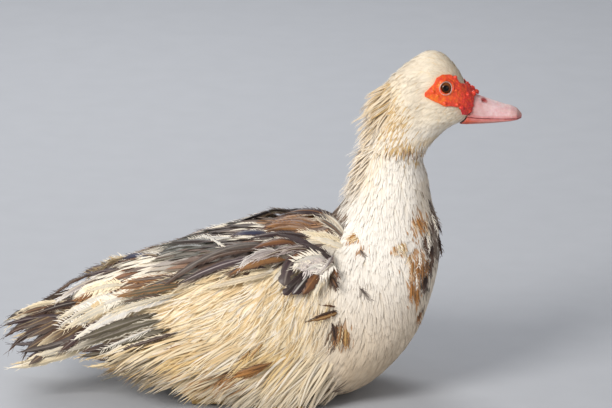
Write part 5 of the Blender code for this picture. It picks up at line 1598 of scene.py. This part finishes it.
def facePaint():
    paint = Paint("bareRedSkin", {
        "Specular IOR Level": 0.5, "Subsurface Weight": 0.15, "Subsurface Scale": 0.002,
        "Subsurface Radius": (1.0, 0.25, 0.12), "Coat Roughness": 0.3,
    })
    colour = paint.attribute("tone")
    where = paint.objectPlace()
    mottle = paint.noise(where, 420.0, 3.0, 0.6)
    grains = paint.noise(where, 2400.0, 2.0, 0.6)
    shade = 0.70 + mottle * 0.58 + grains * 0.20
    base = paint.shaded(colour, shade)
    patches = paint.noise(where, 260.0, 3.0, 0.6)
    stops = ((0.36, (0.90, 0.62, 1.6)), (0.50, (1.0, 1.0, 1.0)), (0.66, (1.0, 1.9, 0.9)))
    tint = paint.ramp(stops, patches)
    base = paint.mixed(1.0, base, tint, "MULTIPLY")
    height = paint.bump(mottle * 0.7 + grains * 0.3, 0.0003, 0.8)
    rough = 0.62 - mottle * 0.30
    return paint.finish(Base_Color=base, Roughness=rough, Coat_Weight=mottle * 0.25, Normal=height)


def browCaruncles(material):
    # balls half sunk into the skin where it meets the bill, joined into one piece
    draw = np.random.default_rng(face["seed"] + 1)
    faceTop = treeOf("face_mask", "head")
    balls = []
    for share in np.linspace(0, 1, face["browBulbs"]):
        x = float(blend(*face["brow"], share))
        y = float(draw.uniform(-face["browStray"], face["browStray"]))
        hit = faceTop.ray_cast(Vector((x, y, face["above"])), Vector((0, 0, -1)))[0]
        radius = face["browRadius"] * draw.uniform(0.7, 1.15)
        spot = hit - Vector((0, 0, radius * face["browSunk"]))
        bpy.ops.mesh.primitive_ico_sphere_add(subdivisions=3, radius=radius, location=spot)
        ball = newest()
        bpy.ops.object.transform_apply(location=True, rotation=True, scale=True)
        balls.append(ball)
    for ball in balls:
        ball.select_set(True)
    bpy.ops.object.join()
    piece = newest()
    piece.name = "browCaruncles"
    bpy.ops.object.shade_smooth()
    setTone(piece.data, np.tile(face["front"], (len(piece.data.vertices), 1)))
    piece.data.materials.append(material)
    return piece


bareFace = place(makeFace(), "bare_skin", "face_mask")
faceMaterial = facePaint()
bareFace.data.materials.append(faceMaterial)
place(browCaruncles(faceMaterial), "bare_skin")
print("face", len(bareFace.data.polygons), "triangles")

# Bill: horn that goes from orange-red at its base through lilac-pink to a paler nail
bill = {
    "voxel": 0.00055, "rounds": 3, "rootX": 0.172, "tipX": 0.2345, "edge": 0.0023, "slots": 60,
    "nostril": (0.2000, 0.2704), "nostrilWide": 0.0030, "nostrilHigh": 0.0018, "nostrilSlant": -0.35,
    "along": (0.0, 0.22, 0.36, 0.62, 0.86, 1.0),        # places of the tones of both halves, root to tip
    "upper": (
        (0.52, 0.08, 0.05), (0.54, 0.20, 0.17), (0.63, 0.38, 0.38),
        (0.74, 0.52, 0.54), (0.72, 0.46, 0.46), (0.60, 0.30, 0.26),
    ),
    "lower": (
        (0.50, 0.050, 0.018), (0.58, 0.09, 0.04), (0.60, 0.18, 0.13),
        (0.62, 0.30, 0.26), (0.58, 0.28, 0.24), (0.46, 0.20, 0.15),
    ),
    # the dark red for the mouth's gap and the nostril is painted shade
    "lip": (0.60, 0.19, 0.19), "hollowShade": (0.30, 0.035, 0.035), "ridge": (0.84, 0.70, 0.70),
}


def billTone(places, outwards, stops, isUpper):
    # tone along the bill, redder at the lips, which are found as each slot's lowest or highest point
    along = (places[:, 0] - bill["rootX"]) / (bill["tipX"] - bill["rootX"])
    tones = np.stack([np.interp(along, bill["along"], channel) for channel in np.array(stops).T], axis=1)
    slots = np.clip((along * bill["slots"]).astype(int), 0, bill["slots"])
    margin = np.full(bill["slots"] + 1, 1.0 if isUpper else 0.0)
    (np.minimum if isUpper else np.maximum).at(margin, slots, places[:, 2])
    away = abs(places[:, 2] - margin[slots])
    lip = fade(bill["edge"] * 0.4, bill["edge"] * 1.6, away) * smooth(0.1, 0.3, along)
    tones = blend(tones, np.array(bill["lip"]), lip * 0.75)
    # painted shade: the inner faces of both halves, in the gap of the mouth, turn dark red
    inner = smooth(0.3, 0.8, outwards[:, 2] * (-1 if isUpper else 1)) * smooth(0.12, 0.25, along)
    tones = blend(tones, np.array(bill["hollowShade"]), inner * 0.8)
    if isUpper:
        # painted highlight: the upward-facing top of the bill's middle is paler
        ridge = smooth(0.40, 0.55, along) * fade(0.80, 0.95, along)
        tones = blend(tones, np.array(bill["ridge"]), smooth(0.75, 1.0, outwards[:, 2]) * ridge * 0.6)
        # painted shade in the nostril: a dark red patch over it
        ahead = places[:, 0] - bill["nostril"][0]
        above = places[:, 2] - bill["nostril"][1] - ahead * bill["nostrilSlant"]
        away = np.sqrt((ahead / bill["nostrilWide"]) ** 2 + (above / bill["nostrilHigh"]) ** 2)
        hollowShade = fade(0.6, 1.3, away)
        tones = blend(tones, np.array(bill["hollowShade"]), hollowShade * smooth(0.0, 0.25, abs(outwards[:, 1])))
    return tones


def makeBillHalf(name, node, stops, isUpper):
    piece = softened(name, node, bill)
    setTone(piece.data, billTone(pointsOf(piece.data), normalsOf(piece.data), stops, isUpper))
    return piece


def billPaint():
    paint = Paint("billHorn", {
        "Specular IOR Level": 0.5, "Subsurface Weight": 0.12, "Subsurface Scale": 0.002,
        "Coat Roughness": 0.22,
    })
    where = paint.objectPlace()
    colour = paint.attribute("tone")
    cloudy = paint.noise(where, 210.0, 4.0, 0.7)
    pits = paint.noise(paint.scaled(where, (700.0, 1500.0, 1500.0)), 1.0, 3.0, 0.65)
    shade = 0.30 + cloudy * 1.10 + pits * 0.30
    base = paint.shaded(colour, shade * 0.4 + 0.6, shade, shade)
    rough = 0.50 - cloudy * 0.14 + pits * 0.10
    height = paint.bump(pits, 0.00018, 0.6)
    return paint.finish(Base_Color=base, Roughness=rough, Coat_Weight=cloudy * 0.35, Normal=height)


billMaterial = billPaint()
billHalves = (("billUpper", "bill_upper", bill["upper"]), ("billLower", "bill_lower", bill["lower"]))
for name, node, stops in billHalves:
    half = place(makeBillHalf(name, node, stops, node == "bill_upper"), "bill", node)
    half.data.materials.append(billMaterial)
    print(name, len(half.data.polygons), "triangles")

# Eyes: a ball with its pupil and iris by the angle from its outward axis, in a pale lid ring
eye = {
    "radius": 0.0060, "segments": 64, "rings": 40, "ahead": 0.12, "upwards": 0.06,
    "lidRadius": 0.0057, "lidThick": 0.00050, "lidOut": 0.0001, "lidTurns": 96, "lidGap": 0.0003,
    "lidBumps": 31, "bumpDepth": 0.15, "castFrom": 0.03, "noRim": 0.0026, "lidRounds": 12,
}


def eyePaint():
    fixed = {"Roughness": 0.10, "Coat Weight": 0.12, "Coat Roughness": 0.02, "Specular IOR Level": 0.20}
    paint = Paint("eyeball", fixed)
    gaze = paint.attribute("gaze", "Fac")
    spokes = paint.noise(paint.scaled(paint.objectPlace(), (1500.0, 1500.0, 1500.0)), 1.0, 2.0)
    stops = (
        (0.00, (0.002, 0.001, 0.001)), (0.40, (0.002, 0.001, 0.001)), (0.50, (0.090, 0.024, 0.006)),
        (0.66, (0.22, 0.070, 0.014)), (0.82, (0.15, 0.042, 0.010)), (0.95, (0.03, 0.012, 0.006)),
    )
    colour = paint.ramp(stops, gaze + (spokes - 0.5) * 0.05)
    return paint.finish(Base_Color=colour)


def makeEye(side, label, material):
    low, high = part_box("eye_right" if side < 0 else "eye_left")
    centre = (low + high) / 2
    bpy.ops.object.select_all(action="DESELECT")
    bpy.ops.mesh.primitive_uv_sphere_add(
        segments=eye["segments"], ring_count=eye["rings"], radius=eye["radius"], location=centre
    )
    ball = newest()
    bpy.ops.object.transform_apply(location=True, rotation=True, scale=True)
    ball.name = "eye" + label
    bpy.ops.object.shade_smooth()
    away = pointsOf(ball.data) - np.array(centre)
    outward = unit(np.array((eye["ahead"], side, eye["upwards"])))
    angle = np.linalg.norm(away - (away @ outward)[:, None] * outward, axis=1) / eye["radius"]
    behind = away @ outward < 0
    setNumber(ball.data, np.where(behind, 1.0, angle), "gaze")
    ball.data.materials.append(material)
    return ball, centre, outward


def lidHeight(centre, outward, turn):
    # height of the bare skin's rim over the eye's middle, round the eye
    angles = np.arange(eye["lidTurns"]) / (eye["lidTurns"] / 2) * math.pi
    heights = []
    for angle in angles:
        spoke = turn @ Vector((math.cos(angle), math.sin(angle), 0.0)) * (eye["lidRadius"] + eye["lidGap"])
        start = centre + spoke + Vector(outward) * eye["castFrom"]
        hit = faceTree.ray_cast(start, -Vector(outward))[0]
        heights.append(eye["castFrom"] - (start - hit).length if hit else eye["noRim"])
    heights = np.array(heights)
    for _ in range(eye["lidRounds"]):
        heights = (np.roll(heights, 1) + heights * 2 + np.roll(heights, -1)) / 4
    return heights + eye["lidOut"]


def makeLid(label, centre, outward, material):
    # a ring of skin round the eye, dotted with tiny bumps
    bpy.ops.object.select_all(action="DESELECT")
    bpy.ops.mesh.primitive_torus_add(
        major_radius=eye["lidRadius"], minor_radius=eye["lidThick"],
        major_segments=eye["lidTurns"], minor_segments=12
    )
    lid = newest()
    lid.name = "lid" + label
    turn = Vector(outward).to_track_quat("Z", "Y").to_matrix()
    ring = pointsOf(lid.data)
    angle = np.arctan2(ring[:, 1], ring[:, 0])
    ring[:, 2] *= 1 + eye["bumpDepth"] * np.sin(angle * eye["lidBumps"])
    slots = np.round(angle / math.pi * (eye["lidTurns"] / 2)).astype(int) % eye["lidTurns"]
    ring[:, 2] += lidHeight(centre, outward, turn)[slots]
    setPoints(lid.data, ring @ np.array(turn).T + np.array(centre))
    bpy.ops.object.shade_smooth()
    lid.data.materials.append(material)
    return lid


def lidPaint():
    paint = Paint("lidSkin", {"Specular IOR Level": 0.5, "Subsurface Weight": 0.1, "Subsurface Scale": 0.001})
    where = paint.objectPlace()
    mottle = paint.noise(where, 900.0, 2.0)
    stops = ((0.30, (0.46, 0.24, 0.20)), (0.75, (0.72, 0.52, 0.47)))
    colour = paint.ramp(stops, mottle)
    height = paint.bump(mottle, 0.0002, 0.6)
    return paint.finish(Base_Color=colour, Roughness=0.55 - mottle * 0.2, Normal=height)


eyeMaterial, lidMaterial = eyePaint(), lidPaint()
faceTree = treeOf("face_mask")
for side, label in sides:
    ball, centre, outward = makeEye(side, label, eyeMaterial)
    place(ball, "eye", "eye_right" if side < 0 else "eye_left")
    place(makeLid(label, centre, outward, lidMaterial), "bare_skin")

# Legs and webbed feet, folded under the body
feet = {"voxel": 0.0008, "rounds": 2}


def footPaint():
    paint = Paint("footSkin", {"Specular IOR Level": 0.4, "Coat Roughness": 0.4})
    where = paint.objectPlace()
    inputs = {"Vector": where, "Scale": 520.0}
    scales = paint.node("ShaderNodeTexVoronoi", {"feature": "DISTANCE_TO_EDGE"}, inputs)
    cloudy = paint.noise(where, 90.0, 3.0, 0.6)
    stops = ((0.35, (0.42, 0.27, 0.09)), (0.55, (0.52, 0.34, 0.13)), (0.75, (0.16, 0.11, 0.06)))
    colour = paint.ramp(stops, cloudy)
    shade = 0.65 + scales * 1.6
    base = paint.shaded(colour, shade)
    height = paint.bump(scales, 0.0006, 0.7)
    return paint.finish(Base_Color=base, Roughness=0.62 - cloudy * 0.2, Normal=height)


def clawPaint():
    paint = Paint("clawHorn", {"Specular IOR Level": 0.5})
    cloudy = paint.noise(paint.scaled(paint.objectPlace(), (300.0, 900.0, 900.0)), 1.0, 3.0)
    stops = ((0.3, (0.12, 0.09, 0.06)), (0.7, (0.28, 0.21, 0.14)))
    colour = paint.ramp(stops, cloudy)
    height = paint.bump(cloudy, 0.0002, 0.4)
    return paint.finish(Base_Color=colour, Roughness=0.40 + cloudy * 0.2, Normal=height)


footMaterial, clawMaterial = footPaint(), clawPaint()
for label, tail in (("Right", "_right"), ("Left", "_left")):
    for part in ("leg", "foot"):
        piece = softened(part + label, part + tail, feet)
        piece.data.materials.append(footMaterial)
        place(piece, "foot_skin", part + tail)
    for toe in ("inner", "middle", "outer"):
        node = nodes["claw_" + toe + tail]
        node.data.materials.clear()
        node.data.materials.append(clawMaterial)
print("bill, eyes and feet")

# Floor, light and camera
studio = {          # each light: its place, width, power and colour
    "floor": 6.0, "floorTone": (0.44, 0.46, 0.50), "world": (0.82, 0.84, 0.88), "worldStrength": 0.42,
    "key": ((-1.15, -1.45, 1.20), 1.0, 45.0, (1.0, 0.96, 0.90)),
    "fill": ((1.30, -1.40, 0.40), 1.4, 5.0, (1.0, 0.84, 0.64)),
    "back": ((-0.30, 1.30, 1.40), 1.0, 16.0, (1.0, 0.98, 0.95)),
    "aim": (0.0, 0.0, 0.12),
}


def floorPaint():
    paint = Paint("studioFloor", {"Specular IOR Level": 0.2})
    grain = paint.noise(paint.objectPlace(), 30.0, 3.0)
    pale = tuple(value * 1.03 for value in studio["floorTone"])
    stops = ((0.3, studio["floorTone"]), (0.7, pale))
    colour = paint.ramp(stops, grain)
    return paint.finish(Base_Color=colour, Roughness=0.85 + grain * 0.05)


def makeFloor():
    bpy.ops.object.select_all(action="DESELECT")
    bpy.ops.mesh.primitive_plane_add(size=studio["floor"] * 2)
    floor = newest()
    floor.name = "studioFloor"
    floor.data.materials.append(floorPaint())


def addLight(name, spot, size, power, colour):
    data = bpy.data.lights.new(name, "AREA")
    data.shape = "DISK"
    data.size = size
    data.energy = power
    data.color = colour
    lamp = newObject(name, data)
    lamp.location = spot
    lamp.rotation_euler = (Vector(studio["aim"]) - Vector(spot)).to_track_quat("-Z", "Y").to_euler()


def addCamera():
    data = bpy.data.cameras.new("camera")
    data.sensor_width = camera["sensor"]
    data.lens = camera["sensor"] * camera["distance"] / (camera["photoWidth"] * camera["pixel"])
    view = newObject("camera", data)
    view.location = Vector(camera["target"]) - viewWay * camera["distance"]
    view.rotation_euler = viewWay.to_track_quat("-Z", "Y").to_euler()
    bpy.context.scene.camera = view


makeFloor()
for name in ("key", "fill", "back"):
    addLight(name, *studio[name])
addCamera()
world = bpy.data.worlds.new("studio")
world.use_nodes = True
background = world.node_tree.nodes["Background"]
background.inputs["Color"].default_value = (*studio["world"], 1.0)
background.inputs["Strength"].default_value = studio["worldStrength"]
bpy.context.scene.world = world
bpy.context.scene.view_settings.view_transform = "Standard"
